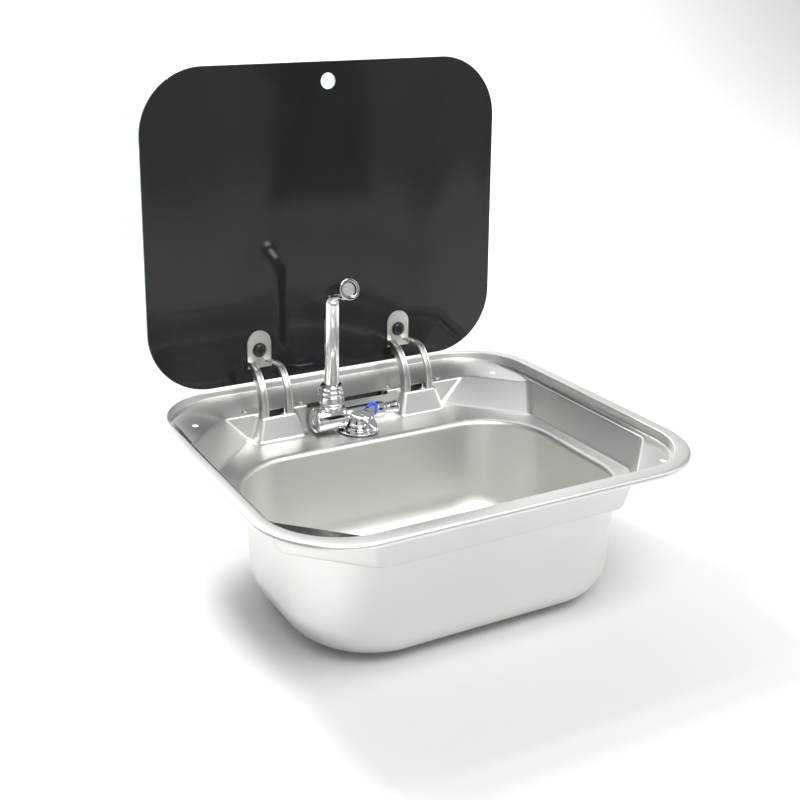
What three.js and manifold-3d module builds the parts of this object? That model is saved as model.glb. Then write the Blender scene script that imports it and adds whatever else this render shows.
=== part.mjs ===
// A drop-in sink pressed from steel sheet, with a folding glass lid on two spring hinges and a
// single-lever cold tap whose spout folds down under the lid. Millimetres, +Z up, front at -Y.
// Heights are measured from the top of the rim; the last group lifts them so that the waste
// seat's underside stands on z = 0.
import * as THREE from "three";
import { mergeVertices } from "three/addons/utils/BufferGeometryUtils.js";
import Module from "manifold-3d";

const wasm = await Module();
wasm.setup();

// ------------------------------------------------------------------ driving dimensions
// Clearances
const seatGap = 0.3; // between pieces that bear on each other
const turnGap = 0.3; // radial, between a pin or spigot and its bore
const holeGap = 0.5; // radial, round a screw or rivet shank

// Pan: one deep-drawn sheet
const sheet = 0.8;
const rimWidth = 420;
const rimDepth = 370;
const rimCorner = 78;
const rimBend = 3;
const lipDrop = 4.5;
const flangeSide = 13;
const flangeEnd = 15.5;
const recessDraft = 0.5;
const recessBend = 1.4;
const recessDepth = 9.3;
const seatSide = 8;
const seatFront = 7;
const stripWidth = 40;
const stripTopDrop = 6.2;
const stripFall = 8.3;
const octagonCutFront = 63.5;
const octagonCutBack = 51.5;
const octagonFillet = 12;
const octagonBend = 5;
const wallRunSide = 10;
const wallRunFront = 6;
const wallRunBack = 2;
const footCutFront = 60;
const footCutBack = 68.5;
const footBend = 4;
const ledgeDepth = 40;
const ledgeSide = 18;
const ledgeFront = 11;
const ledgeBack = 53.5;
const bowlCornerFront = 78;
const bowlCornerBack = 62;
const bowlBend = 6;
const bowlHeight = 145;
const bowlDraftSide = 1.5;
const bowlDraftFront = 5;
const bowlDraftBack = 9;
const bowlFootRadius = 32;
const bowlFootCorner = 79;

// Waste seat, pressed below the bowl floor
const wasteStep = 3;
const wasteRadius = 45;
const wasteHole = 26;
const wasteY = -36;

// Fixing holes in the four corner ledges
const cornerHole = 3.2;
const cornerHoleX = 169.5;
const cornerHoleFromFront = 38;
const cornerHoleFromBack = 68;

// Vent slot in the lower bend of the back strip
const ventWidth = 93;
const ventHeight = 4;

// Hinge boxes, pressed up from the back ledge
const hingeX = 80.5;
const boxFootWidth = 54;
const boxTopWidth = 40;
const boxTopDrop = 16;
const boxFootFromBack = 74;
const boxTopFromBack = 66.6;
const boxCorner = 5;
const slotWidth = 36.8;
const slotFrontFromBack = 65.5;
const slotBackFromBack = 53.5;

// Lid
const glassWidth = 392.5;
const glassDepth = 319;
const glassThickness = 4;
const glassCorner = 64.5;
const glassEdge = 0.6;
const glassClosedDrop = 8; // underside below the rim when the lid is shut
const glassRearFromBack = 34.5; // rear edge when the lid is shut
const fingerHole = 8;
const fingerHoleFromTop = 19.5;
const lidLean = 0.76; // degrees past upright when the lid is open

// Hinge
const pivotFromBack = 19.8;
const pivotDrop = 11.8;
const pinRadius = 2;
const pinHead = 3;
const pinHeadLength = 1.7;
const tongueWidth = 26;
const tongueThickness = 2.2;
const tongueFoot = 30; // above the pivot, lid open
const tongueTop = 68.8;
const armThickness = 3;
const armInner = 34.4;
const armOuter = 43.5;
const armOuterAtTongue = 40;
const armSpread = 17; // outer face of an arm from the hinge's middle
const armStart = 86; // degrees round the pivot, from +Y towards +Z
const armEnd = 200;
const armBead = 0.7;
const barHalf = 3.5;
const eyeRadius = 3.6;
const bracketSheet = 1.2;
const cheekSheet = 1.5; // of the plates that carry the pin
const bracketInner = 19.5;
const bracketOuter = 36;
const bracketFrontFromBack = 53.2;
const bracketBackFromBack = 27;
const bridgeFrontFromBack = 47;
const bridgeBackFromBack = 34;
const rivetOffset = 30.5;
const rivetFromBack = 49.6;
const rivetShank = 1.5;
const rivetHead = 3.4;
const rivetHeadHeight = 1.5;
const springTurns = 8;
const springCoil = 3.1;
const springWire = 0.45;
const springPitch = 1.45;
const springLeg = 17;
const springHook = 10;

// Screws that clamp the glass to the tongues
const screwHeight = 48.8; // above the pivot, lid open
const screwShank = 2.5;
const screwHead = 6.4;
const screwHeadHeight = 2.6;
const crossLength = 5.6; // of the cross recess
const crossWidth = 1.5;
const crossDepth = 1.2;
const washerThickness = 0.6;
const frontWasher = 7.4;
const rearWasher = 9;
const rearWasherThickness = 1;
const nutAcross = 10;
const nutHeight = 3;
const nutDome = 4.4;
const nutLength = 6;

// Tap
const tapFromBack = 75;
const barrelDrop = 25.3;
const barrelRadius = 8.5;
const barrelLeft = -14;
const barrelRight = 30;
const plugRadius = 6;
const plugLength = 17;
const hubRadius = 12;
const hubLeft = -44;
const hubRight = -14.6;
const spigotRadius = 6;
const endCapRadius = 12.4;
const endCapLength = 3;
const spoutX = -28;
const neckTop = -9;
const neckRadius = 12;
const collarRadius = 13;
const collarTop = 11;
const spoutRadius = 7.6;
const spoutWall = 1.2;
const spoutStraight = 93;
const spoutBend = 16;
const spoutRise = 19; // degrees, of the arm above level
const spoutArm = 24;
const aeratorRadius = 10.3;
const aeratorLength = 11;
const aeratorWall = 2;
const screenRadius = 6.6;
const screenThickness = 1.2;
const pillarX = -1;
const pillarFromBack = 82;
const pillarRadius = 12.5;
const baseRadius = 21;
const baseThickness = 4;
const baseFlange = 1.1; // passes under the folding hub
const gasketThickness = 0.5;
const tailRadius = 7;
const tailBore = 4.5;
const tailDrop = 84;
const clampWasher = 15;
const clampWasherThickness = 2;
const clampNutAcross = 22;
const clampNutHeight = 7;
const inletLength = 16;
const inletRadius = 5.2;
const inletBore = 3.2;
const knobX = 2;
const knobFromBack = 93.5;
const knobDrop = 23;
const knobTilt = 34.8; // degrees that the lever leans to the front
const knobTip = 17.5;
const knobCore = 7.6;
const knobThickness = 6;
const knobLobes = 3;
const knobFirstLobe = 40; // degrees
const knobEdge = 0.9;
const bonnetRadius = 7;
const bonnetHeight = 5;
const spindleDepth = 6;
const spindleRadius = 3;
const markThickness = 0.8;
const markHeight = 2.6;
const markSpan = 20; // degrees to each side of the lobe's tip

// Facets round a turned piece
const fine = 20;
const coarse = 14;

// ------------------------------------------------------------------ finishes
const finishes = {
  satinSteel: { color: 0xbdbbb3, roughness: 0.34, metalness: 1 },
  hingeSteel: { color: 0xb4b2ab, roughness: 0.38, metalness: 1 },
  springSteel: { color: 0x8f8d88, roughness: 0.35, metalness: 1 },
  blackGlass: { color: 0x17181a, roughness: 0.08, metalness: 0 },
  blackPlastic: { color: 0x1a1a1a, roughness: 0.45, metalness: 0 },
  chrome: { color: 0xdfe0e0, roughness: 0.08, metalness: 1 },
  screenGrey: { color: 0xa5a6a3, roughness: 0.5, metalness: 0 },
  blueMark: { color: 0x1d62c4, roughness: 0.35, metalness: 0 },
  blackRubber: { color: 0x1c1c1c, roughness: 0.85, metalness: 0 },
  brass: { color: 0xc2a25a, roughness: 0.35, metalness: 1 },
};

// ------------------------------------------------------------------ solids
const { degToRad, lerp, smoothstep } = THREE.MathUtils;

// A closed three.js geometry as a solid, turned the right way out.
function solid(geometry) {
  const bare = geometry.clone();
  for (const name of Object.keys(bare.attributes)) {
    if (name !== "position") bare.deleteAttribute(name);
  }
  const merged = mergeVertices(bare, 1e-4);
  const corners = [];
  for (let i = 0; i < merged.index.count; i += 3) {
    const [a, b, c] = [0, 1, 2].map((k) => merged.index.getX(i + k));
    if (a !== b && b !== c && c !== a) corners.push(a, b, c);
  }
  const build = (triVerts) => {
    const vertProperties = merged.attributes.position.array;
    return new wasm.Manifold(new wasm.Mesh({ numProp: 3, vertProperties, triVerts }));
  };
  const made = build(new Uint32Array(corners));
  return made.volume() < 0 ? build(new Uint32Array(corners).reverse()) : made;
}

function geometryOf(body) {
  const { vertProperties, triVerts, numProp } = body.getMesh();
  const positions = new Float32Array((vertProperties.length / numProp) * 3);
  for (let i = 0; i < positions.length / 3; i++) {
    positions.set(vertProperties.subarray(i * numProp, i * numProp + 3), i * 3);
  }
  const geometry = new THREE.BufferGeometry();
  geometry.setAttribute("position", new THREE.BufferAttribute(positions, 3));
  geometry.setIndex(new THREE.BufferAttribute(new Uint32Array(triVerts), 1));
  geometry.computeVertexNormals();
  return geometry;
}

const join = (first, ...others) => others.reduce((a, b) => a.add(b), first);
const cut = (first, ...others) => others.reduce((a, b) => a.subtract(b), first);

// Rings of equally many points, skinned in order and capped at both ends.
function loft(rings) {
  const count = rings[0].length;
  const positions = rings.flat().flatMap((p) => [p.x, p.y, p.z]);
  const index = [];
  for (let i = 0; i + 1 < rings.length; i++) {
    for (let j = 0; j < count; j++) {
      const [a, b] = [i * count + j, i * count + ((j + 1) % count)];
      index.push(a, b, a + count, b, b + count, a + count);
    }
  }
  for (const end of [0, rings.length - 1]) {
    const middle = rings[end].reduce((sum, p) => sum.add(p), new THREE.Vector3());
    middle.divideScalar(count);
    const hub = positions.length / 3;
    positions.push(middle.x, middle.y, middle.z);
    for (let j = 0; j < count; j++) {
      const [a, b] = [end * count + j, end * count + ((j + 1) % count)];
      index.push(hub, ...(end === 0 ? [b, a] : [a, b]));
    }
  }
  const geometry = new THREE.BufferGeometry();
  geometry.setAttribute("position", new THREE.Float32BufferAttribute(positions, 3));
  geometry.setIndex(index);
  return geometry;
}

// A profile of [radius, height] pairs turned about Z. It starts and ends on the axis, or is
// closed on itself to make a ring.
function turned(profile, segments = fine) {
  const points = profile.map(([r, z]) => new THREE.Vector2(r, z));
  return new THREE.LatheGeometry(points, segments).rotateX(Math.PI / 2);
}

function turnedRing(profile, segments = fine) {
  return turned([...profile, profile[0]], segments);
}

function disc(radius, low, high, segments = fine) {
  return turned([[0, low], [radius, low], [radius, high], [0, high]], segments);
}

function washer(inner, outer, low, high, segments = fine) {
  return turnedRing([[inner, low], [outer, low], [outer, high], [inner, high]], segments);
}

const alongX = (geometry) => geometry.rotateY(Math.PI / 2); // Z becomes X
const alongY = (geometry) => geometry.rotateX(-Math.PI / 2); // Z becomes Y

// A Y-Z outline of [y, z] pairs, carried along X from `from` to `to`.
function sideProfile(outline, from, to) {
  const shape = new THREE.Shape(outline.map(([y, z]) => new THREE.Vector2(y, z)));
  const block = new THREE.ExtrudeGeometry(shape, { depth: to - from, bevelEnabled: false });
  const turn = new THREE.Matrix4().set(0, 0, 1, from, 1, 0, 0, 0, 0, 1, 0, 0, 0, 0, 0, 1);
  return block.applyMatrix4(turn);
}

function block(x0, x1, y0, y1, z0, z1) {
  const box = new THREE.BoxGeometry(x1 - x0, y1 - y0, z1 - z0);
  return box.translate((x0 + x1) / 2, (y0 + y1) / 2, (z0 + z1) / 2);
}

function hexPrism(across, low, high) {
  const radius = across / 2 / Math.cos(Math.PI / 6);
  return disc(radius, low, high, 6);
}

// ------------------------------------------------------------------ pan outline
const rimX = rimWidth / 2;
const rimY = rimDepth / 2;
const fromBack = (distance) => rimY - distance; // distances are from the rim's back edge
const boxFootY = fromBack(boxFootFromBack);
const boxTopY = fromBack(boxTopFromBack);
const slotFront = fromBack(slotFrontFromBack);
const slotBack = fromBack(slotBackFromBack);
const pivotY = fromBack(pivotFromBack);
const bracketFront = fromBack(bracketFrontFromBack);
const bracketBack = fromBack(bracketBackFromBack);
const bridgeFront = fromBack(bridgeFrontFromBack);
const bridgeBack = fromBack(bridgeBackFromBack);
const rivetY = fromBack(rivetFromBack);
const tapY = fromBack(tapFromBack);
const pillarY = fromBack(pillarFromBack);
const knobY = fromBack(knobFromBack);
const glassRearY = fromBack(glassRearFromBack);
const cornerHoleFront = rimY - cornerHoleFromFront;
const cornerHoleBack = fromBack(cornerHoleFromBack);
const flangeX = rimX - flangeSide;
const flangeY = rimY - flangeEnd;
const stripTopY = flangeY - recessDraft - 1;
const stripLowY = stripTopY - stripWidth;
const stripSlope = stripFall / stripWidth;
const seatX = flangeX - recessDraft - seatSide;
const seatY = flangeY - recessDraft - seatFront;
const footX = seatX - wallRunSide;
const footFrontY = seatY - wallRunFront;
const footBackY = stripLowY - wallRunBack;
const bowlX = footX - ledgeSide;
const bowlFrontY = footFrontY - ledgeFront;
const bowlBackY = footBackY - ledgeBack;
const floorTop = wasteStep + sheet - bowlHeight;

const stripZ = (y) => -stripTopDrop - (stripTopY - y) * stripSlope;
const stripUnderZ = (y) => stripZ(y) - sheet * Math.hypot(1, stripSlope);

const cornerSteps = 10;

// Points of one corner, measured inwards from the sharp corner, from the side to the end. A
// corner is one quarter round, or two 45 degree fillets with a straight cut between them.
function cornerPoints({ radius, cutLength }) {
  const half = cornerSteps / 2;
  return Array.from({ length: cornerSteps }, (_, i) => {
    if (cutLength === undefined) {
      const a = (i / (cornerSteps - 1)) * (Math.PI / 2);
      return [radius * (1 - Math.cos(a)), radius * (1 - Math.sin(a)), i / (cornerSteps - 1)];
    }
    const tangent = cutLength + radius * Math.tan(Math.PI / 8);
    const a = ((i < half ? i : i - 1) / (cornerSteps - 2)) * (Math.PI / 2);
    const along = [radius * (1 - Math.cos(a)), tangent - radius * Math.sin(a)];
    const back = [tangent - radius * Math.cos(a), radius * (1 - Math.sin(a))];
    return [...(i < half ? along : back), i / (cornerSteps - 1)];
  });
}

// One level of the pan: half width, front and back distance, corners, and a height that may
// differ between the back edge and the other three.
function panRing({ side, front, back, frontCorner, backCorner, z, backZ = z, bend = 0 }) {
  const fronts = cornerPoints(frontCorner);
  const backs = cornerPoints(backCorner);
  const rear = backs.map(([u, v, f]) => [side - u, back - v, lerp(z, backZ, smoothstep(f, 0, 1))]);
  const fore = fronts.map(([u, v]) => [side - u, v - front, z]);
  const mirrored = (list) => list.map(([x, y, h]) => [-x, y, h]).reverse();
  const toFront = fore.slice().reverse();
  const all = [...rear, ...mirrored(rear), ...mirrored(toFront), ...toFront];
  return { bend, points: all.map(([x, y, h]) => new THREE.Vector3(x, y, h)) };
}

const round = (radius) => ({ radius });
const chamfer = (cutLength, radius) => ({ cutLength, radius });
const rimLevel = (inset, z, bend) =>
  panRing({
    side: rimX - inset,
    front: rimY - inset,
    back: rimY - inset,
    frontCorner: round(rimCorner - inset),
    backCorner: round(rimCorner - inset),
    z,
    bend,
  });

// The sharp levels of the pan's upper skin, from the lip's edge to the bowl floor.
function panLevels() {
  const recessCorner = round(rimCorner - flangeSide);
  const footCorner = bowlFootCorner - bowlFootRadius;
  return [
    rimLevel(0, -lipDrop),
    rimLevel(0, 0, rimBend),
    panRing({
      side: flangeX,
      front: flangeY,
      back: flangeY,
      frontCorner: recessCorner,
      backCorner: recessCorner,
      z: 0,
      bend: recessBend,
    }),
    panRing({
      side: flangeX - recessDraft,
      front: flangeY - recessDraft,
      back: stripTopY,
      frontCorner: recessCorner,
      backCorner: recessCorner,
      z: -recessDepth,
      backZ: -stripTopDrop,
      bend: recessBend,
    }),
    panRing({
      side: seatX,
      front: seatY,
      back: stripLowY,
      frontCorner: chamfer(octagonCutFront, octagonFillet),
      backCorner: chamfer(octagonCutBack, octagonFillet),
      z: -recessDepth,
      backZ: -stripTopDrop - stripFall,
      bend: octagonBend,
    }),
    panRing({
      side: footX,
      front: footFrontY,
      back: footBackY,
      frontCorner: chamfer(footCutFront, octagonFillet),
      backCorner: chamfer(footCutBack, octagonFillet),
      z: -ledgeDepth,
      bend: footBend,
    }),
    panRing({
      side: bowlX + bowlBend + 2,
      front: bowlFrontY + bowlBend + 1,
      back: bowlBackY + bowlBend + 2,
      frontCorner: round(bowlCornerFront + bowlBend),
      backCorner: round(bowlCornerBack + bowlBend + 2),
      z: -ledgeDepth,
    }),
    panRing({
      side: bowlX,
      front: bowlFrontY,
      back: bowlBackY,
      frontCorner: round(bowlCornerFront),
      backCorner: round(bowlCornerBack),
      z: -ledgeDepth,
      bend: bowlBend,
    }),
    panRing({
      side: bowlX - bowlDraftSide,
      front: bowlFrontY - bowlDraftFront,
      back: bowlBackY - bowlDraftBack,
      frontCorner: round(bowlFootCorner),
      backCorner: round(bowlFootCorner),
      z: floorTop,
      bend: bowlFootRadius,
    }),
    panRing({
      side: bowlX - bowlDraftSide - bowlFootRadius - 2,
      front: bowlFrontY - bowlDraftFront - bowlFootRadius - 2,
      back: bowlBackY - bowlDraftBack - bowlFootRadius - 2,
      frontCorner: round(footCorner - 2),
      backCorner: round(footCorner - 2),
      z: floorTop,
    }),
  ];
}

// The levels with each sharp edge rolled to its bend radius, point column by point column.
function rolled(levels) {
  const rings = [];
  levels.forEach(({ bend, points }, i) => {
    if (!bend) {
      rings.push(points);
      return;
    }
    const steps = bend > 20 ? 5 : 2;
    const arcs = points.map((corner, j) => {
      const before = levels[i - 1].points[j].clone().sub(corner);
      const after = levels[i + 1].points[j].clone().sub(corner);
      const half = (Math.PI - before.angleTo(after)) / 2;
      const tangent = Math.min(bend * Math.tan(half), before.length() * 0.9, after.length() * 0.9);
      const start = corner.clone().addScaledVector(before.normalize(), tangent);
      const end = corner.clone().addScaledVector(after.normalize(), tangent);
      return { start, corner, end, weight: Math.cos(half) };
    });
    for (let s = 0; s <= steps; s++) {
      rings.push(arcs.map((arc) => arcPoint(arc, s / steps)));
    }
  });
  return rings;
}

// A point on the circular arc that touches both sides of a corner.
function arcPoint({ start, corner, end, weight }, t) {
  const [a, b, c] = [(1 - t) ** 2, 2 * t * (1 - t) * weight, t * t];
  const sum = new THREE.Vector3();
  sum.addScaledVector(start, a).addScaledVector(corner, b).addScaledVector(end, c);
  return sum.divideScalar(a + b + c);
}

// The skin's normals, up out of the bowl. Level stretches stay exactly level.
function skinNormals(rings) {
  const count = rings[0].length;
  return rings.map((ring, i) =>
    ring.map((p, j) => {
      const inner = rings[Math.min(i + 1, rings.length - 1)][j];
      const outer = rings[Math.max(i - 1, 0)][j];
      const [near, far] = [inner.clone().sub(p), p.clone().sub(outer)];
      const steps = [near, far].filter((v) => v.length() > 1e-6);
      const inwards = steps.reduce((sum, v) => sum.add(v.normalize()), new THREE.Vector3());
      const around = ring[(j + 1) % count].clone().sub(ring[(j + count - 1) % count]);
      const normal = around.cross(inwards).normalize();
      if (normal.z > 0.986 || i === rings.length - 1) normal.set(0, 0, 1);
      return normal;
    }),
  );
}

function panSkins() {
  const upper = rolled(panLevels());
  const normals = skinNormals(upper);
  const sunk = (depth) =>
    upper.map((ring, i) => ring.map((p, j) => p.clone().addScaledVector(normals[i][j], -depth)));
  return { upper, middle: sunk(sheet / 2), lower: sunk(sheet) };
}

// ------------------------------------------------------------------ pan features
// A box pressed up from the ledge: a drafted block with rounded edges, grown or shrunk by `by`.
function hingeBox(x, by, backY, footZ) {
  const level = (z, inset) => {
    const t = (z + ledgeDepth) / (ledgeDepth - boxTopDrop);
    const half = lerp(boxFootWidth, boxTopWidth, t) / 2 + by - inset;
    const front = lerp(boxFootY, boxTopY, t) - by + inset;
    const r = boxCorner + by - inset * 0.5;
    const left = [];
    for (let i = 0; i <= 4; i++) {
      const a = (i / 4) * (Math.PI / 2);
      left.push(new THREE.Vector3(x - half + r * (1 - Math.cos(a)), front + r * (1 - Math.sin(a)), z));
    }
    const right = left.map((p) => new THREE.Vector3(2 * x - p.x, p.y, z)).reverse();
    const rear = [new THREE.Vector3(x + half, backY, z), new THREE.Vector3(x - half, backY, z)];
    return [...left, ...right, ...rear];
  };
  const top = -boxTopDrop + by;
  const rings = [
    level(footZ, 0),
    level(top - boxCorner / 2, 0),
    level(top - boxCorner / 8, boxCorner / 6),
    level(top, boxCorner / 2),
  ];
  return solid(loft(rings));
}

function wasteSeat() {
  const low = floorTop - wasteStep;
  const seat = wasteRadius - 2;
  const profile = [
    [wasteRadius + 1, floorTop - sheet * 0.3],
    [wasteRadius - 0.3, floorTop - sheet * 0.3],
    [seat + 0.3, low + 0.5],
    [seat - 1, low],
    [wasteHole, low],
    [wasteHole, low - sheet],
    [seat - 0.7, low - sheet],
    [seat + 0.9, low - sheet + 0.6],
    [wasteRadius + 1, floorTop - sheet * 0.8],
  ];
  return turnedRing(profile, 40).translate(0, wasteY, 0);
}

function sinkPan() {
  const { upper, middle, lower } = panSkins();
  const shell = solid(loft([...upper.slice().reverse(), ...lower]));
  const inside = solid(loft(middle.slice(5)));
  const low = floorTop - sheet - 5;
  const opening = disc(wasteRadius, low, floorTop + 5, 40).translate(0, wasteY, 0);
  let pan = join(cut(shell, solid(opening)), solid(wasteSeat()));
  for (const x of [-hingeX, hingeX]) {
    const pressed = hingeBox(x, 0, stripTopY - 10, -ledgeDepth - sheet - 2).intersect(inside);
    const hollow = hingeBox(x, -sheet, stripTopY - 10, -ledgeDepth - sheet - 4);
    const half = slotWidth / 2;
    const slot = block(x - half, x + half, slotFront, slotBack, -boxTopDrop - 8, 5);
    pan = cut(join(pan, pressed), hollow, solid(slot));
    for (const side of [-1, 1]) {
      const hole = disc(rivetShank + holeGap, -8, 8, 12);
      pan = pan.subtract(solid(onStrip(hole, x + side * rivetOffset)));
    }
  }
  const holes = [];
  for (const x of [-cornerHoleX, cornerHoleX]) {
    for (const y of [-cornerHoleFront, cornerHoleBack]) {
      holes.push(disc(cornerHole, -recessDepth - 12, 2, 16).translate(x, y, 0));
    }
  }
  const ventTop = stripZ(stripLowY) + 1;
  const vent = [-ventWidth / 2, ventWidth / 2, stripLowY - 6, stripLowY + 3.5];
  holes.push(block(...vent, ventTop - ventHeight - 0.6, ventTop - 0.6));
  const tailHole = disc(tailRadius + holeGap, -ledgeDepth - 5, -ledgeDepth + 5);
  holes.push(tailHole.translate(pillarX, pillarY, 0));
  return cut(pan, ...holes.map(solid));
}

// Moves a piece made about the origin onto the strip's upper face, square to it.
function onStrip(geometry, x) {
  const tilt = new THREE.Matrix4().makeRotationX(Math.atan(stripSlope));
  const place = new THREE.Matrix4().makeTranslation(x, rivetY, stripZ(rivetY));
  return geometry.applyMatrix4(place.multiply(tilt));
}

// ------------------------------------------------------------------ lid and hinges
// The lid's pieces are made about the hinge pivot with the glass upright, its front face at
// glassFront. They lean back by lidLean when open and turn forward to lie flat when shut.
const glassFront = pivotDrop - glassClosedDrop;
const glassFoot = pivotY - glassRearY;
const tongueBack = glassFront - seatGap;
const tongueFront = tongueBack - tongueThickness;

function roundedRectangle(width, height, radius) {
  const shape = new THREE.Shape();
  const [x, y] = [width / 2, height / 2];
  shape.moveTo(-x + radius, -y).lineTo(x - radius, -y);
  shape.absarc(x - radius, -y + radius, radius, -Math.PI / 2, 0);
  shape.absarc(x - radius, y - radius, radius, 0, Math.PI / 2);
  shape.absarc(-x + radius, y - radius, radius, Math.PI / 2, Math.PI);
  shape.absarc(-x + radius, -y + radius, radius, Math.PI, 1.5 * Math.PI);
  return shape;
}

function glassLid() {
  const shape = roundedRectangle(glassWidth, glassDepth, glassCorner);
  const pane = new THREE.ExtrudeGeometry(shape, {
    depth: glassThickness - 2 * glassEdge,
    bevelThickness: glassEdge,
    bevelSize: glassEdge,
    bevelOffset: -glassEdge,
    bevelSegments: 1,
    curveSegments: 10,
  });
  pane.rotateX(Math.PI / 2);
  pane.translate(0, glassFront + glassThickness - glassEdge, glassFoot + glassDepth / 2);
  const through = (radius, x, z) => {
    const drill = alongY(disc(radius, glassFront - 2, glassFront + glassThickness + 2));
    return solid(drill.translate(x, 0, z));
  };
  return cut(
    solid(pane),
    through(fingerHole, 0, glassFoot + glassDepth - fingerHoleFromTop),
    through(screwShank + holeGap, -hingeX, screwHeight),
    through(screwShank + holeGap, hingeX, screwHeight),
  );
}

// One side arm, bent forward from the tongue and curved about the pivot, with a pressed bead
// along its middle. `side` is -1 on the left and 1 on the right.
function hingeArc(side) {
  const stations = [];
  for (let angle = armStart; angle < armEnd; angle += angle < 94 ? 4 : 10) stations.push(angle);
  stations.push(armEnd);
  const rings = stations.map((angle) => {
    const spread = smoothstep(angle, armStart + 2, armStart + 40);
    const outerFace = lerp(tongueWidth / 2, armSpread, spread);
    const low = lerp(tongueFoot + 0.6, armInner, smoothstep(angle, armStart, armStart + 8));
    const high = lerp(armOuterAtTongue, armOuter, spread);
    const bead = armBead * spread;
    const face = [0, 0.3, 0.42, 0.58, 0.7, 1].map((f, i) => [f, i === 2 || i === 3 ? bead : 0]);
    const outline = [
      ...face.map(([f, b]) => [outerFace - armBead + b, lerp(low, high, f)]),
      ...face.reverse().map(([f, b]) => [outerFace - armThickness + b, lerp(low, high, f)]),
    ];
    const a = degToRad(angle);
    return outline.map(
      ([x, r]) => new THREE.Vector3(side * x, r * Math.cos(a), r * Math.sin(a)),
    );
  });
  return solid(loft(rings));
}

function hingeArm() {
  const half = tongueWidth / 2;
  const shape = new THREE.Shape();
  shape.moveTo(-half, tongueFoot).lineTo(half, tongueFoot);
  shape.lineTo(half, tongueTop - half);
  shape.absarc(0, tongueTop - half, half, 0, Math.PI);
  const plate = new THREE.ExtrudeGeometry(shape, {
    depth: tongueThickness,
    bevelEnabled: false,
    curveSegments: 12,
  });
  plate.rotateX(Math.PI / 2).translate(0, tongueBack, 0);
  const hole = alongY(disc(screwShank + holeGap, tongueFront - 5, tongueBack + 5, coarse));
  let arm = cut(solid(plate), solid(hole.translate(0, 0, screwHeight)));
  const a = degToRad(armEnd);
  for (const side of [-1, 1]) {
    const faces = [side * (armSpread - armBead), side * (armSpread - armThickness)];
    const [from, to] = faces.sort((p, q) => p - q);
    const along = ([r, v]) => [
      r * Math.cos(a) - v * Math.sin(a),
      r * Math.sin(a) + v * Math.cos(a),
    ];
    const corners = [
      [0, -barHalf],
      [armOuter - 2, -barHalf],
      [armOuter, -barHalf + 2],
      [armOuter, barHalf - 1],
      [armInner, barHalf],
      [0, barHalf],
    ];
    const bar = sideProfile(corners.map(([r, v]) => along([r, -v])), from, to);
    const eye = alongX(disc(eyeRadius, from, to, coarse));
    arm = join(arm, hingeArc(side), solid(bar), solid(eye));
  }
  const bore = alongX(disc(pinRadius + turnGap, -armSpread - 5, armSpread + 5, coarse));
  return cut(arm, solid(bore));
}

const bracketTop = (y) => stripUnderZ(y) - seatGap;

// The fixed half: ears riveted under the strip, a bridge between them and two cheeks that
// carry the pin. Made in the rim's frame, about the hinge's middle.
function hingeBracket() {
  const plate = (y0, y1, x0, x1) => {
    const outline = [
      [y0, bracketTop(y0)],
      [y1, bracketTop(y1)],
      [y1, bracketTop(y1) - bracketSheet],
      [y0, bracketTop(y0) - bracketSheet],
    ];
    return solid(sideProfile(outline, x0, x1));
  };
  const cheekFoot = -pivotDrop - eyeRadius;
  const cheek = [
    [bridgeFront + 3, bracketTop(bridgeFront + 3) - 0.2],
    [stripTopY - 1, bracketTop(stripTopY - 1) - 0.2],
    [pivotY + eyeRadius, -pivotDrop],
    [pivotY + eyeRadius * 0.6, cheekFoot],
    [pivotY - eyeRadius * 0.6, cheekFoot],
    [bridgeFront + 3, bracketTop(bridgeFront + 3) - 3],
  ];
  let bracket = plate(bridgeFront, bridgeBack, -bracketOuter + 1, bracketOuter - 1);
  for (const side of [-1, 1]) {
    const span = (near, far) => [side * near, side * far].sort((p, q) => p - q);
    const ear = plate(bracketFront, bracketBack, ...span(bracketInner, bracketOuter));
    const web = sideProfile(cheek, ...span(bracketInner, bracketInner + cheekSheet));
    bracket = join(bracket, ear, solid(web));
    const hole = onStrip(disc(rivetShank + holeGap, -8, 8, 12), side * rivetOffset);
    bracket = cut(bracket, solid(hole));
  }
  const bore = disc(pinRadius + turnGap, -bracketOuter, bracketOuter, coarse);
  return cut(bracket, solid(alongX(bore).translate(0, pivotY, -pivotDrop)));
}

function hingePin() {
  const shaft = bracketInner + cheekSheet + seatGap;
  const profile = [
    [0, -shaft - pinHeadLength],
    [pinHead - 0.5, -shaft - pinHeadLength],
    [pinHead, -shaft - pinHeadLength + 0.5],
    [pinHead, -shaft],
    [pinRadius, -shaft],
    [pinRadius, shaft],
    [pinHead, shaft],
    [pinHead, shaft + pinHeadLength - 0.5],
    [pinHead - 0.5, shaft + pinHeadLength],
    [0, shaft + pinHeadLength],
  ];
  return solid(alongX(turned(profile, coarse)));
}

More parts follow.
